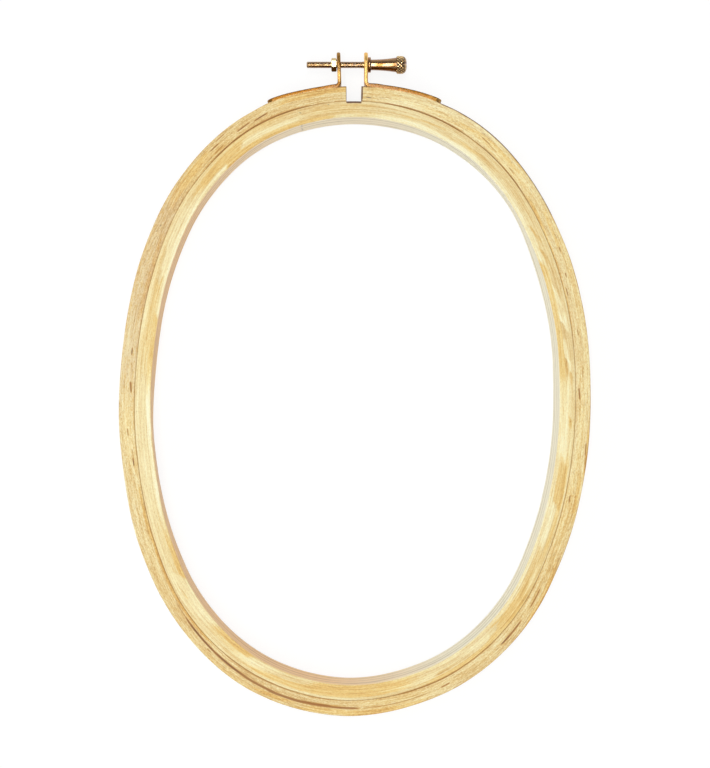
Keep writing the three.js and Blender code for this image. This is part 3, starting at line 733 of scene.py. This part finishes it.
def paint_inner(along, offset, height, side):
    """Patches and marks of the inner ring's face, painted shade along the line between the rings and at the
    foot of the split, and the painted light tint of its inner wall.
    """
    on_top = smooth(height, RING_DEPTH - 0.8, RING_DEPTH - 0.1)
    drift = 0.9 * noise(along / 80, 0 * along, 41) + 0.25 * noise(along / 24, offset / 5, 42)
    tone = 0.1 + 0.25 * noise(along / 45, offset / 2.5, 43) + stretches(along, INNER_TONES)
    amber = 0.35 + 0.35 * noise(along / 50, offset / 4, 44)
    for s0, s1, r0, r1, slope, start, end, value, warm in INNER_PATCHES:
        here = patch(along, offset, s0, s1, r0, r1, slope=slope, start=start, end=end, seed=int(50 + s0 % 17))
        tone = tone + 1.25 * value * here
        amber = amber + (warm - amber) * np.clip(here, 0, 1)
    mark = streaks(along, offset, INNER_STREAKS)
    dark = streaks(along, offset, INNER_DARK_STREAKS)
    # the line between the rings: painted shade, as a darker tone and a brown mark
    seam = np.clip(1.2 + offset / 0.36, 0, 1)
    seam_shade = 0.4 + 0.35 * noise(along / 27, 0 * along, 45)
    strong = stretches(along, DARK_SEAM)
    tone = tone - seam * (0.6 * seam_shade + 0.5 * strong)
    # the edge that shows at the foot of the split is dark: painted shade
    foot = near(along, -3.5, 3.5, 0.3) * np.clip(2.7 + offset / 0.4, 0, 1)
    seam_shade_mark = seam * np.clip(0.75 * strong + 0.45 * seam_shade + 0.22, 0, 1)
    mark = np.maximum(mark, np.maximum(seam_shade_mark, foot))
    dark = np.maximum(dark, 0.85 * foot)
    # the glued joint shows as a line down the wall
    from_joint = np.abs(np.mod(along - INNER_JOINT + AROUND / 2, AROUND) - AROUND / 2)
    glue = np.clip(1.1 - from_joint / 1.1, 0, 1) * (0.5 + 0.3 * noise(height / 2, along, 46))
    # painted light: round the ring the inner wall takes the cool grey tint of the light where this is 1 and
    # the pinkish tan where it is 0
    spot = np.mod(along, AROUND)
    cool = 1.0 - smooth(spot, 315, 405) + 0.75 * smooth(spot, 640, 745) - 0.25 * (1 - smooth(spot, 0, 60))
    return {
        "drift": drift,
        "tone": tone,
        "grey": 0 * along,
        "amber": np.clip(amber, 0, 1),
        "mark": mark * on_top,
        "dark": dark * on_top + glue * np.clip(side, 0, 1) * 0.9,
        "cool": np.clip(cool, 0, 1),
    }


# Brass
# the colour of tarnish, also used for painted shade in hollows and on dull faces
TARNISH_AND_SHADE = (0.075, 0.033, 0.012)


def brass(name, bright, dull, rough, edge, turned=False, gloss=1.5):
    """Lacquered brass, bright or dull by its painted polish and painted sheen, darker where pits, dirt and
    painted shade are painted, with fine scratches or turning lines.
    """
    t = Tree(bpy.data.materials.new(name))
    spot = t.attribute("work", "Vector")
    polish_and_sheen, pit = t.attribute("polish_and_sheen"), t.attribute("pit")
    clouds = t.noise(t.vector("MULTIPLY", spot, (0.45, 0.45, 0.45)), detail=3, rough=0.6)
    speckle = t.noise(t.vector("MULTIPLY", spot, (2.6, 2.6, 2.6)), detail=3, rough=0.65)
    level = t.stir(t.stir(polish_and_sheen, clouds, 0.9), speckle, 0.5)
    colour = t.mix(t.step(level, 0.05, 0.95), dull, bright)
    # darker towards tarnish where speckles and the painted pits, dirt and shade are
    stain_and_shade = t.step(t.math("ADD", speckle, t.math("MULTIPLY", pit, 0.9)), 0.64, 1.1)
    colour = t.mix(t.math("MULTIPLY", stain_and_shade, 0.92), colour, TARNISH_AND_SHADE)
    line_scale = (14.0, 0.25, 0.25) if turned else (0.6, 9.0, 9.0)
    lines = t.noise(t.vector("MULTIPLY", spot, line_scale), detail=2, rough=0.7)
    roughness = t.math("MULTIPLY_ADD", pit, 0.25, t.stir(rough, speckle, 0.22))
    shader = t.node(
        "ShaderNodeBsdfPrincipled",
        {
            "Base Color": colour,
            "Metallic": 1.0,
            "Roughness": roughness,
            "Specular Tint": edge,
            "Coat Weight": 1.0 if turned else 0.25,
            "Coat IOR": gloss,
            "Coat Roughness": 0.11,
            "Normal": t.bump(lines, 0.25, 0.00003, t.bump(speckle, 0.12, 0.00008)),
        },
    )
    return t.close(shader)


def finish_brass(obj, work, polish_and_sheen, pit):
    """Paints what the brass reads: coordinates for its noise, polish and painted sheen, and pits, dirt and
    painted shade.
    """
    paint(obj, "work", work)
    paint(obj, "polish_and_sheen", polish_and_sheen)
    paint(obj, "pit", pit)


# Bent straps
STRAP_SINK = 0.14  # how far the scene's straps lie nearer to the wood than the solids
RIGHT_STRAP_EXTRA = 1.3  # the right strap is the longer one
HOLE_ROUNDING = 0.12
# The scene's strips are thicker than the solids by this factor, to which each strap adds a little
STRIP_FACTOR, RIGHT_STRAP_ADDS, LEFT_STRAP_ADDS = 1.13, 0.3, 0.02
GRID = 1.1  # between points on the flat strip


def strap(name, hand, setback, lean, material):
    """A strip with a rounded ear, cut and holed flat, then bent.

    On the flat strip u runs from the free end to the ear's top, v across and w outwards.
    """
    outer_bend = BEND_RADIUS + STRAP_THICKNESS
    inner_face = SEAT_RADIUS - STRAP_SINK
    mid = inner_face + STRAP_THICKNESS / 2
    bend_mid = BEND_RADIUS + STRAP_THICKNESS / 2
    foot_x = SPLIT_WIDTH / 2 + setback
    bend_x = foot_x + outer_bend * math.cos(lean)
    foot_angle = math.asin(bend_x / (SEAT_RADIUS + outer_bend))
    bend_y = END_CENTRE + (inner_face + outer_bend) * math.cos(foot_angle)
    extra = RIGHT_STRAP_EXTRA if hand > 0 else 0.0
    end_angle = foot_angle + (STRAP_LENGTH + extra) / SEAT_RADIUS
    strap_run = mid * (end_angle - foot_angle)
    bend_run = bend_mid * (math.pi / 2 - foot_angle + lean)
    ear_foot = strap_run + bend_run
    axis_run = (SCREW_Y - bend_y - bend_mid * math.sin(lean)) / math.cos(lean)
    axis_u = ear_foot + axis_run
    half = STRAP_WIDTH / 2
    stations = list(np.arange(STRAP_CORNER, strap_run, GRID))
    stations += list(np.linspace(strap_run, ear_foot, 15)) + list(np.linspace(ear_foot, axis_u, 7)[1:-1])

    def rounding(u):
        """Radius of the strip's edges: tumbled rounder at the ear than along the strap."""
        return 0.16 + 0.46 * smooth(u, strap_run + bend_run * 0.3, ear_foot + 1)

    def arc(centre_u, centre_v, radius, start, turn, steps):
        """Points round a corner; a negative turn runs clockwise."""
        angles = [start + turn * k / steps for k in range(steps + 1)]
        return [(centre_u + radius * math.cos(a), centre_v + radius * math.sin(a)) for a in angles]

    def outline(share):
        """The outline drawn in by a share of the rounding of its edges."""
        corner = STRAP_CORNER - share * rounding(0.0)
        top = half - share * rounding(axis_u)
        quarter = math.pi / 2
        points = arc(STRAP_CORNER, STRAP_CORNER - half, corner, math.pi, quarter, 8)
        points += [(u, share * rounding(u) - half) for u in stations[1:]]
        points += arc(axis_u, 0, top, -quarter, math.pi, 32)
        points += [(u, half - share * rounding(u)) for u in reversed(stations[1:])]
        return points + arc(STRAP_CORNER, half - STRAP_CORNER, corner, quarter, quarter, 8)

    rivet_u = [strap_run - RIVET_INSET * mid / SEAT_RADIUS, (RIVET_INSET + extra) * mid / SEAT_RADIUS]
    holes = [(axis_u, THREAD_RADIUS + 0.15)] + [(u, RIVET_HEAD + 0.05) for u in rivet_u]

    def hole(centre, radius):
        return arc(centre, 0, radius, 0, -2 * math.pi, 40)[:-1]

    def loops(share):
        return [outline(share)] + [hole(centre, radius + share * HOLE_ROUNDING) for centre, radius in holes]

    # the flat faces: the outline, the holes with a ring of points round each, and a grid between them
    face_loops = loops(1)
    flat, edges = [], []
    for loop in face_loops:
        base = len(flat)
        flat += loop
        edges += [(base + i, base + (i + 1) % len(loop)) for i in range(len(loop))]
    rim_count = len(flat)
    for centre, radius in holes:
        flat += hole(centre, radius + 0.32)
    for u in stations:
        for v in np.linspace(-half + 1.3, half - 1.3, 8):
            if all(math.hypot(u - centre, v) > radius + 0.7 for centre, radius in holes) and u > 1.4:
                flat.append((u, v))
    found = delaunay_2d_cdt([Vector(p) for p in flat], edges, [], 1, 1e-6)
    assert len(found[0]) == len(flat)
    order = [olds[0] for olds in found[3]]
    triangles = []
    for face in found[2]:
        ids = [order[i] for i in face]
        middle_u = sum(flat[i][0] for i in ids) / 3
        middle_v = sum(flat[i][1] for i in ids) / 3
        if all(math.hypot(middle_u - centre, middle_v) >= radius * 0.97 for centre, radius in holes):
            triangles.append(tuple(ids))
    count = len(flat)
    points = [(u, v, w) for w in (STRAP_THICKNESS / 2, -STRAP_THICKNESS / 2) for u, v in flat]
    faces = triangles + [tuple(count + i for i in reversed(ids)) for ids in triangles]

    def stitch(first, second):
        """Faces between two sets of loops."""
        start = 0
        for loop in face_loops:
            for i in range(len(loop)):
                a, b = start + i, start + (i + 1) % len(loop)
                faces.append((first[b], first[a], second[a], second[b]))
            start += len(loop)

    # the rounded edges, from the top face round to the bottom
    steps = [math.pi / 2 * k / 4 for k in range(5)]
    levels = [(1 - math.cos(a), 1 - math.sin(a), 1) for a in reversed(steps)]
    levels += [(1 - math.cos(a), 1 - math.sin(a), -1) for a in steps]
    previous = list(range(rim_count))
    for share, drop, up in levels[1:-1]:
        base = len(points)
        for number, loop in enumerate(loops(share)):
            for u, v in loop:
                depth = drop * (HOLE_ROUNDING if number else float(rounding(u)))
                points.append((u, v, up * (STRAP_THICKNESS / 2 - depth)))
        current = [base + i for i in range(rim_count)]
        stitch(previous, current)
        previous = current
    stitch(previous, [count + i for i in range(rim_count)])

    def lifted(u):
        """How far the strap stands out from its nominal place; the ear's foot goes with it."""
        spring = 0.12 + 0.12 * np.clip(1 - u / strap_run, 0, 1) + (0.2 if hand > 0 else 0)
        return (seat(hand, strap_run - u + 5) + spring) * (1 - smooth(u, strap_run, ear_foot + 3))

    # bent: the strap follows the ring, a bend leads into the ear, and the ear stands straight
    u, v, w = np.array(points).T
    strap_adds = RIGHT_STRAP_ADDS if hand > 0 else LEFT_STRAP_ADDS
    thicker = STRIP_FACTOR + strap_adds * (1 - smooth(u, strap_run - 4, ear_foot))
    w = w * thicker
    angle = end_angle - u / mid
    lift = lifted(u)
    strap_x, strap_y = (mid + w + lift) * np.sin(angle), END_CENTRE + (mid + w + lift) * np.cos(angle)
    turn = 1.5 * math.pi - foot_angle - (u - strap_run) / bend_mid
    turned_x, turned_y = bend_x + (bend_mid - w) * np.cos(turn), bend_y + (bend_mid - w) * np.sin(turn)
    rise = u - ear_foot
    ear_x = bend_x - (bend_mid - w) * math.cos(lean) + rise * math.sin(lean)
    ear_y = bend_y + (bend_mid - w) * math.sin(lean) + rise * math.cos(lean)
    on_strap, on_bend = u <= strap_run, (u > strap_run) & (u <= ear_foot)
    x = np.where(on_strap, strap_x, np.where(on_bend, turned_x, ear_x))
    y = np.where(on_strap, strap_y, np.where(on_bend, turned_y, ear_y) + lift)
    obj = link(name, np.stack([hand * x, y, MID + v], -1), faces, material)
    turn_outwards(obj, sharp=55)

    # painted: a polished ear, a dull strap and a dark tip, and along the outer edge, most on the right strap,
    # painted shade
    ear = smooth(u, strap_run - 2, ear_foot + 2)
    near_foot = np.exp(-(((u - strap_run - bend_run * 0.4) / 3.0) ** 2))
    rim = np.minimum(np.abs(half - np.abs(v)), 1)
    if hand > 0:
        polish_and_sheen = 0.4 * np.clip(1 - u / strap_run, 0, 1) - 0.13 + 1.18 * ear - 0.15 * near_foot
    else:
        polish_and_sheen = 0.55 * ear - 0.3 + 0.6 * np.exp(-(((rise - 2.5) / 2.5) ** 2))
    # painted shade along the strap's outer edge
    outside = smooth(w / thicker, 0.57, 0.66) * (1 - smooth(rim, 0.02, 0.3))
    tip = 1 - smooth(u, 0.1, 0.4)
    pit = 0.15 * near_foot + (0.62 if hand > 0 else 0.15) * np.maximum((1 - 0.5 * ear) * outside, tip)
    finish_brass(obj, np.stack([u, v, w + 20 * hand], -1), polish_and_sheen, np.clip(pit, 0, 1))
    strap_top = mid + (STRIP_FACTOR + strap_adds) * STRAP_THICKNESS / 2
    rivets = [(end_angle - run / mid, strap_top + float(lifted(run))) for run in rivet_u]
    return obj, rivets, bend_x - BEND_RADIUS * math.cos(lean) + axis_run * math.sin(lean)


# Turned pieces
def turned(name, rows, segments, at, material):
    """A brass piece from rows of (place, radius, pit and painted shade, polish and painted sheen) along an
    axis; it begins and ends in a point.
    """
    turns = 2 * math.pi * np.arange(segments) / segments
    points = [at(rows[0][0], 0.0, 0.0)]
    for along, radius, pit, polish_and_sheen in rows[1:-1]:
        points += [at(along, *spot) for spot in zip(np.broadcast_to(radius, segments), turns)]
    points.append(at(rows[-1][0], 0.0, 0.0))
    faces = []
    last = 1 + (len(rows) - 3) * segments
    for k in range(segments):
        m = (k + 1) % segments
        faces.append((0, 1 + k, 1 + m))
        for a in range(1, last, segments):
            b = a + segments
            faces.append((a + m, a + k, b + k, b + m))
        faces.append((last + m, last + k, len(points) - 1))
    obj = link(name, points, faces, material)

    def spread(column):
        """The rows' values for all points."""
        circles = [np.broadcast_to(row[column], segments) for row in rows[1:-1]]
        return np.concatenate([[rows[0][column]], *circles, [rows[-1][column]]])

    finish_brass(obj, np.array(points), spread(3), np.clip(spread(2), 0, 1))
    return obj


def rivet(name, hand, angle, top, material):
    """A countersunk rivet, peened nearly flush with the strap, its tail let into the inside of the wood."""
    inside = END_RADIUS + CLOTH_CLEARANCE + RIVET_RECESS
    tail_top = inside + RIVET_TAIL_THICKNESS
    profile = (
        (inside, 0.0), (inside, RIVET_TAIL * 0.55), (inside + 0.12, RIVET_TAIL * 0.9),
        (inside + 0.3, RIVET_TAIL), (tail_top - 0.1, RIVET_TAIL), (tail_top, RIVET_TAIL - 0.12),
        (tail_top, RIVET_SHANK),
        (top - 1.0, RIVET_SHANK), (top - 0.35, RIVET_HEAD - 0.25), (top - 0.08, RIVET_HEAD - 0.02),
        (top + 0.02, RIVET_HEAD - 0.14), (top + 0.09, RIVET_HEAD * 0.7), (top + 0.13, RIVET_HEAD * 0.36),
        (top + 0.14, 0.0),
    )

    def at(along, radius, turn):
        across = radius * math.cos(turn)
        x = along * math.sin(angle) + across * math.cos(angle)
        y = END_CENTRE + along * math.cos(angle) - across * math.sin(angle)
        return (hand * x, y, MID + radius * math.sin(turn))

    obj = turned(name, [(along, radius, 0.1, 0.45) for along, radius in profile], 40, at, material)
    turn_outwards(obj, sharp=45)
    return obj


# The screw and nut
def about_screw(along, radius, turn):
    """A point at a place along the screw's axis, at a distance from it."""
    return (along, SCREW_Y + radius * math.cos(turn), MID + radius * math.sin(turn))


def thread_rows(tail_x, thread_end, segments):
    """Rows of the thread, with a rounded tip and a fading end; the grooves are painted dark, as dirt and as
    painted shade.
    """
    per_turn = 12
    start = tail_x + 0.06
    turns = np.arange(segments) / segments
    rows = [(tail_x, 0.0, 0.0, 0.5), (tail_x, 0.75, 0.0, 0.5), (tail_x + 0.02, 1.02, 0.0, 0.5)]
    for i in range(int((thread_end - start) / THREAD_PITCH * per_turn) + 1):
        x = start + i * THREAD_PITCH / per_turn
        phase = np.mod(x / THREAD_PITCH - turns, 1.0)
        ridge = np.clip((0.43 - np.abs(phase - 0.5)) / 0.22, 0, 1)  # 1 on the crest, 0 in the root
        radius = np.minimum(THREAD_RADIUS - THREAD_DEPTH * (1 - ridge), 1.06 + (x - tail_x) * 0.95)
        fade = smooth(x, thread_end - 0.8, thread_end)
        rows.append((x, radius + (THREAD_RADIUS - radius) * fade, 0.8 * (1 - ridge) * (1 - fade), 0.35))
    return rows


KNURL_DEPTH, KNURL_ROWS, SHOULDER_DROP = 0.45, 44, 0.42
KNOB_SEGMENTS, SCREW_SEGMENTS, NUT_SEGMENTS = 208, 48, 120


def knob_rows(knob_x, far_x, turns):
    """Rows of the knob: a shoulder, knurled diamonds, and a plain dome that ends in a flat face."""
    band_end = far_x - KNOB_DOME
    pitch = 2 * math.pi * KNOB_RADIUS / KNURL_STARTS
    rows = []

    def add(x, radius, dirt_and_shade):
        rows.append((x, radius, 0.8 * dirt_and_shade, 1.0 - 0.9 * dirt_and_shade))

    def dome(share):
        return KNOB_FACE + (KNOB_RADIUS - KNOB_FACE) * math.sqrt(1 - share * share)

    add(knob_x, 0.0, 0.5)
    for x, radius in ((knob_x, 2.2), (knob_x, 3.1), (knob_x + 0.1, 3.55)):
        add(x, radius, 0.6)
    knurl_from, knurl_to = knob_x + 0.22, far_x - 0.9
    for i in range(KNURL_ROWS + 1):
        x = knurl_from + (knurl_to - knurl_from) * i / KNURL_ROWS
        shoulder = 1 - smooth(x, knob_x + 0.05, knob_x + 0.65)
        envelope = dome(np.clip((x - band_end) / KNOB_DOME, 0, 1)) - SHOULDER_DROP * shoulder
        lead = (x - knob_x) / pitch
        across = KNURL_STARTS * turns / (2 * math.pi)
        one = np.abs(np.mod(across + lead, 1.0) - 0.5) * 2
        two = np.abs(np.mod(across - lead, 1.0) - 0.5) * 2
        groove = np.maximum(smooth(one, 0.45, 0.9), smooth(two, 0.45, 0.9))
        groove = groove * (1 - smooth(x, band_end + 1.0, band_end + 1.9))
        # the knurl's grooves are painted dark, as dirt and as painted shade, and the dome a little duller
        dirt_and_shade = np.maximum(groove, 0.5 * smooth(x, band_end + 0.4, band_end + 1.0))
        add(x, envelope - KNURL_DEPTH * groove, dirt_and_shade)
    for share in np.linspace(0.63, 0.999, 7)[1:]:
        add(band_end + KNOB_DOME * share, dome(share), 0.5)
    add(far_x, 1.0, 0.5)
    add(far_x, 0.5, 0.5)
    add(far_x, 0.0, 0.0)
    return rows


def screw(material, tail_x, collar_x):
    """Thread, collar, flared sleeve and diamond-knurled knob, all turned about the screw's axis."""
    sleeve_x = collar_x + COLLAR_THICKNESS
    knob_x = sleeve_x + SLEEVE_LENGTH
    far_x = knob_x + KNOB_LENGTH
    rows = thread_rows(tail_x, collar_x - 2.2, SCREW_SEGMENTS)
    # the corners by the collar are painted dark, as dirt and as painted shade
    for x, radius, dirt_and_shade in (
        (collar_x - 0.12, THREAD_RADIUS, 0.3), (collar_x, THREAD_RADIUS + 0.06, 0.7),
        (collar_x, COLLAR_RADIUS - 0.28, 0.3), (collar_x + 0.05, COLLAR_RADIUS - 0.08, 0.0),
        (collar_x + 0.16, COLLAR_RADIUS, 0.0), (sleeve_x - 0.18, COLLAR_RADIUS, 0.0),
        (sleeve_x - 0.05, COLLAR_RADIUS - 0.08, 0.0), (sleeve_x, COLLAR_RADIUS - 0.26, 0.1),
        (sleeve_x, SLEEVE_RADIUS + 0.16, 0.9), (sleeve_x + 0.14, SLEEVE_RADIUS + 0.02, 0.7),
    ):
        rows.append((x, radius, dirt_and_shade, 0.0))
    for share in np.arange(1, 41) / 40:
        flare = (FLARE_RADIUS - SLEEVE_RADIUS) * share**2 + 0.02 * (1 - share)
        x = sleeve_x + 0.14 + (SLEEVE_LENGTH - 0.14) * share
        rows.append((x, SLEEVE_RADIUS + flare, 0.35 * smooth(share, 0.93, 1.0), 0.08 + 0.1 * share))
    rows += [(knob_x + 0.8, FLARE_RADIUS, 0.0, 0.5), (knob_x + 0.8, 0.0, 0.0, 0.5)]
    body = turned("clamp_screw_brass", rows, SCREW_SEGMENTS, about_screw, material)

    rows = knob_rows(knob_x, far_x, 2 * math.pi * np.arange(KNOB_SEGMENTS) / KNOB_SEGMENTS)
    knob = turned("knob_part", rows, KNOB_SEGMENTS, about_screw, material)
    box = [
        (far_x + deep, SCREW_Y + wide, MID + up)
        for deep in (-SLOT_DEPTH, SLOT_DEPTH)
        for wide in (-SLOT_WIDTH / 2, SLOT_WIDTH / 2)
        for up in (-6, 6)
    ]
    sides = [(0, 1, 3, 2), (4, 6, 7, 5), (0, 4, 5, 1), (2, 3, 7, 6), (0, 2, 6, 4), (1, 5, 7, 3)]
    carve(knob, link("slot_tool", box, sides, material, smooth_faces=False))
    with bpy.context.temp_override(active_object=body, selected_editable_objects=[body, knob]):
        bpy.ops.object.join()
    turn_outwards(body, sharp=38)
    return body


def carve(obj, cutter):
    """Cuts the cutter out of an object, and removes it."""
    turn_outwards(cutter)
    modifier = obj.modifiers.new("cut", "BOOLEAN")
    modifier.operation = "DIFFERENCE"
    modifier.solver = "EXACT"
    modifier.object = cutter
    bpy.context.view_layer.update()
    graph = bpy.context.evaluated_depsgraph_get()
    mesh = bpy.data.meshes.new_from_object(obj.evaluated_get(graph))
    obj.modifiers.clear()
    old = obj.data
    obj.data = mesh
    bpy.data.meshes.remove(old)
    bpy.data.objects.remove(cutter)


def nut(material, centre_x):
    """A hexagon nut with turned corners and a countersunk bore."""
    half, flats = NUT_THICKNESS / 2, NUT_FLATS / 2
    segments = NUT_SEGMENTS
    turns = 2 * math.pi * (np.arange(segments) + 0.5) / segments
    to_corner = np.mod(turns - NUT_TURN, math.pi / 3)
    hexagon = flats / np.cos(to_corner - math.pi / 6)
    hexagon = np.minimum(hexagon, flats / math.cos(math.pi / 6) - 0.06)
    circle = flats * 0.965
    slope = math.tan(math.radians(30))
    bore = THREAD_RADIUS + 0.05
    chamfer = (hexagon - circle) * slope
    rows = (
        (-half + 0.28, bore), (-half, bore + 0.3), (-half, circle - 0.04), (-half + 0.02, circle),
        (-half + 0.02 + chamfer, hexagon), (half - 0.02 - chamfer, hexagon),
        (half - 0.02, circle), (half, circle - 0.04), (half, bore + 0.3), (half - 0.28, bore),
    )
    points, faces = [], []
    for row in rows:
        # the turns start at a corner that points to +Z, before the nut's own turn
        for x, radius, turn in zip(*(np.broadcast_to(value, segments) for value in (*row, turns))):
            points.append((centre_x + x, SCREW_Y - radius * math.sin(turn), MID + radius * math.cos(turn)))
    for i in range(len(rows)):
        a, b = i * segments, ((i + 1) % len(rows)) * segments
        for k in range(segments):
            m = (k + 1) % segments
            faces.append((a + k, a + m, b + m, b + k))
    obj = link("hex_nut_brass", points, faces, material)
    turn_outwards(obj, sharp=22)
    points = np.array(points)
    # painted light: the faces that look up and away from the hoop are painted bright, a painted highlight, and
    # those below them dull and darker, painted shade
    turn = np.degrees(np.arctan2(SCREW_Y - points[:, 1], points[:, 2] - MID))
    painted_light_side = 1 - smooth(np.abs(turn + 30), 57, 63)
    finish_brass(obj, points, 0.1 + 0.9 * painted_light_side, 0.35 * (1 - painted_light_side))
    return obj


# Build
wood_outer = wood("outer_wood", True)
wood_inner = wood("inner_wood", False)
strap_brass = brass("strap_brass", (0.95, 0.58, 0.18), (0.25, 0.105, 0.014), 0.36, (0.85, 0.7, 0.5))
rivet_brass = brass("rivet_brass", (0.76, 0.48, 0.18), (0.45, 0.21, 0.06), 0.34, (0.85, 0.75, 0.6))
screw_brass = brass(
    "screw_brass", (1.0, 0.70, 0.30), (0.30, 0.125, 0.012), 0.12, (0.5, 0.32, 0.15), turned=True, gloss=1.75
)
nut_brass = brass("nut_brass", (0.85, 0.68, 0.36), (0.33, 0.20, 0.07), 0.3, (0.6, 0.5, 0.4))

INNER_ROUNDINGS, OUTER_ROUNDINGS = (0.3, 0.14), (0.14, 0.32)
inner = ring(
    "inner_ring_wood", INNER_JOINT - AROUND, INNER_JOINT, -RING_THICKNESS, 0.0, wood_inner, paint_inner,
    INNER_ROUNDINGS, seed=61,
)
EDGE_ROOM = 0.2  # for the broken edge of each cut, which stands out that far
cut_x = SPLIT_WIDTH / 2 + EDGE_ROOM
cut_s = cut_place(cut_x)
right, left = [
    ring(
        name, start, end, CLOTH_CLEARANCE, CLOTH_CLEARANCE + RING_THICKNESS, wood_outer, paint_outer,
        OUTER_ROUNDINGS, cut_at=cut_at, seed=71,
    )
    for name, start, end, cut_at in (
        ("outer_ring_right_wood", cut_s, AROUND / 2, cut_x),
        ("outer_ring_left_wood", AROUND / 2, AROUND - cut_s, -cut_x),
    )
]

right_strap, right_rivets, right_face = strap(
    "right_bracket_brass", 1, RIGHT_SETBACK, RIGHT_LEAN, strap_brass
)
left_strap, left_rivets, _ = strap("left_bracket_brass", -1, LEFT_SETBACK, LEFT_LEAN, strap_brass)
rivets = []
for word, hand, body, places in (
    ("left", -1, "left_clamp", left_rivets),
    ("right", 1, "outer_frame", right_rivets),
):
    for number, (angle, top) in enumerate(places, 1):
        node = f"{word}_rivet_{number}"
        rivets.append((rivet(node + "_brass", hand, angle, top, rivet_brass), node, body, "rivet_brass"))

LONGER_TAIL, NUT_SHIFT = 0.4, 0.08  # the scene's tail is longer than the solid's, and its nut lies further out
screw_low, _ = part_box("clamp_screw")
nut_low, nut_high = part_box("hex_nut")
screw_piece = screw(screw_brass, screw_low.x * 1000 - LONGER_TAIL, right_face + 2 * BEARING_GAP)
nut_piece = nut(nut_brass, (nut_low.x + nut_high.x) * 500 - NUT_SHIFT)

# Each piece with the node that it replaces, the body that it rides on and its material slot
rides = [
    (inner, "inner_ring", "inner_hoop", "inner_wood"),
    (right, "outer_ring", "outer_frame", "outer_wood"),
    (right_strap, "right_bracket", "outer_frame", "strap_brass"),
    (left_strap, "left_bracket", "left_clamp", "strap_brass"),
    (screw_piece, "clamp_screw", "screw", "screw_brass"),
    (nut_piece, "hex_nut", "left_clamp", "nut_brass"),
    *rivets,
]
for piece, node, body, slot in rides:
    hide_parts(node)
    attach(piece, body)
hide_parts("outer_ring")
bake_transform(left)

# Floor, light, camera
paper = Tree(bpy.data.materials.new("floor_paper"))
path = paper.node("ShaderNodeLightPath")
seen = paper.math("MAXIMUM", path.outputs["Is Camera Ray"], path.outputs["Is Glossy Ray"])
seen = paper.math("MAXIMUM", seen, path.outputs["Is Transmission Ray"])
matt = paper.node("ShaderNodeBsdfDiffuse", {"Color": (0.88, 0.88, 0.88)}).outputs[0]
glow = paper.node("ShaderNodeEmission", {"Color": (1, 1, 1), "Strength": 1.06}).outputs[0]
white = paper.node("ShaderNodeMixShader", {0: 0.8, 1: matt, 2: glow}).outputs[0]
reach, floor_z = 3.0, -0.0002  # just below the hoop, so that the two never share a plane
floor_mesh = bpy.data.meshes.new("floor")
corners = [(x * reach, y * reach, floor_z) for x, y in ((-1, -1), (1, -1), (1, 1), (-1, 1))]
floor_mesh.from_pydata(corners, [], [(0, 1, 2, 3)])
floor_mesh.materials.append(paper.close(paper.node("ShaderNodeMixShader", {0: seen, 1: matt, 2: white})))
floor = bpy.data.objects.new("floor", floor_mesh)
scene.collection.objects.link(floor)

# the world is brighter towards the horizon
sky = Tree(bpy.data.worlds.new("studio"), "ShaderNodeOutputWorld")
direction = sky.node("ShaderNodeTexCoord").outputs["Generated"]
up = sky.node("ShaderNodeSeparateXYZ", {0: direction}).outputs[2]
strength = sky.step(up, 0.0, 0.9, 0.76, 0.26)
scene.world = sky.close(sky.node("ShaderNodeBackground", {"Color": (0.97, 0.985, 1.0), "Strength": strength}))


def lamp(name, place, aim, size, watts, colour):
    """A rectangular lamp that looks at a point."""
    data = bpy.data.lights.new(name, "AREA")
    data.shape = "RECTANGLE"
    data.size, data.size_y = size
    data.energy = watts
    data.color = colour
    obj = bpy.data.objects.new(name, data)
    obj.location = place
    obj.rotation_euler = (Vector(aim) - Vector(place)).to_track_quat("-Z", "Y").to_euler()
    scene.collection.objects.link(obj)


# two long strips give the screw its highlight
lamp("strip", (0.02, -0.17, 1.30), (0.02, -0.17, 0.0), (0.10, 1.5), 6.3, (1.0, 0.99, 0.97))
lamp("second strip", (-0.22, -0.17, 1.30), (-0.22, -0.17, 0.0), (0.15, 1.3), 5.2, (1.0, 0.99, 0.97))
lamp("panel", (0.0, 0.30, 1.40), (0.0, 0.30, 0.0), (1.5, 1.1), 0.5, (1.0, 0.985, 0.96))
lamp("side", (-1.1, 0.5, 0.75), (0, 0.02, 0), (0.8, 0.8), 2.4, (1.0, 0.97, 0.93))

# the lens is straight above the hoop but for a little: its distances from the middle in metres, its tilts in
# radians
CAMERA_X, CAMERA_Y, CAMERA_HEIGHT = -0.001945, 0.003753, 0.612292
TILT_X, TILT_Y = 0.00571, -0.00411
LENS, SENSOR = 61.867, 36.0
camera_data = bpy.data.cameras.new("camera")
camera_data.sensor_width = SENSOR
camera_data.lens = LENS
camera_data.clip_start = 0.05
camera_data.clip_end = 20
camera = bpy.data.objects.new("camera", camera_data)
camera.location = (CAMERA_X, OVAL_Y / 1000 + CAMERA_Y, CAMERA_HEIGHT)
camera.rotation_euler = (TILT_X, TILT_Y, 0.0)
scene.collection.objects.link(camera)
scene.camera = camera
scene.view_settings.view_transform = "Standard"
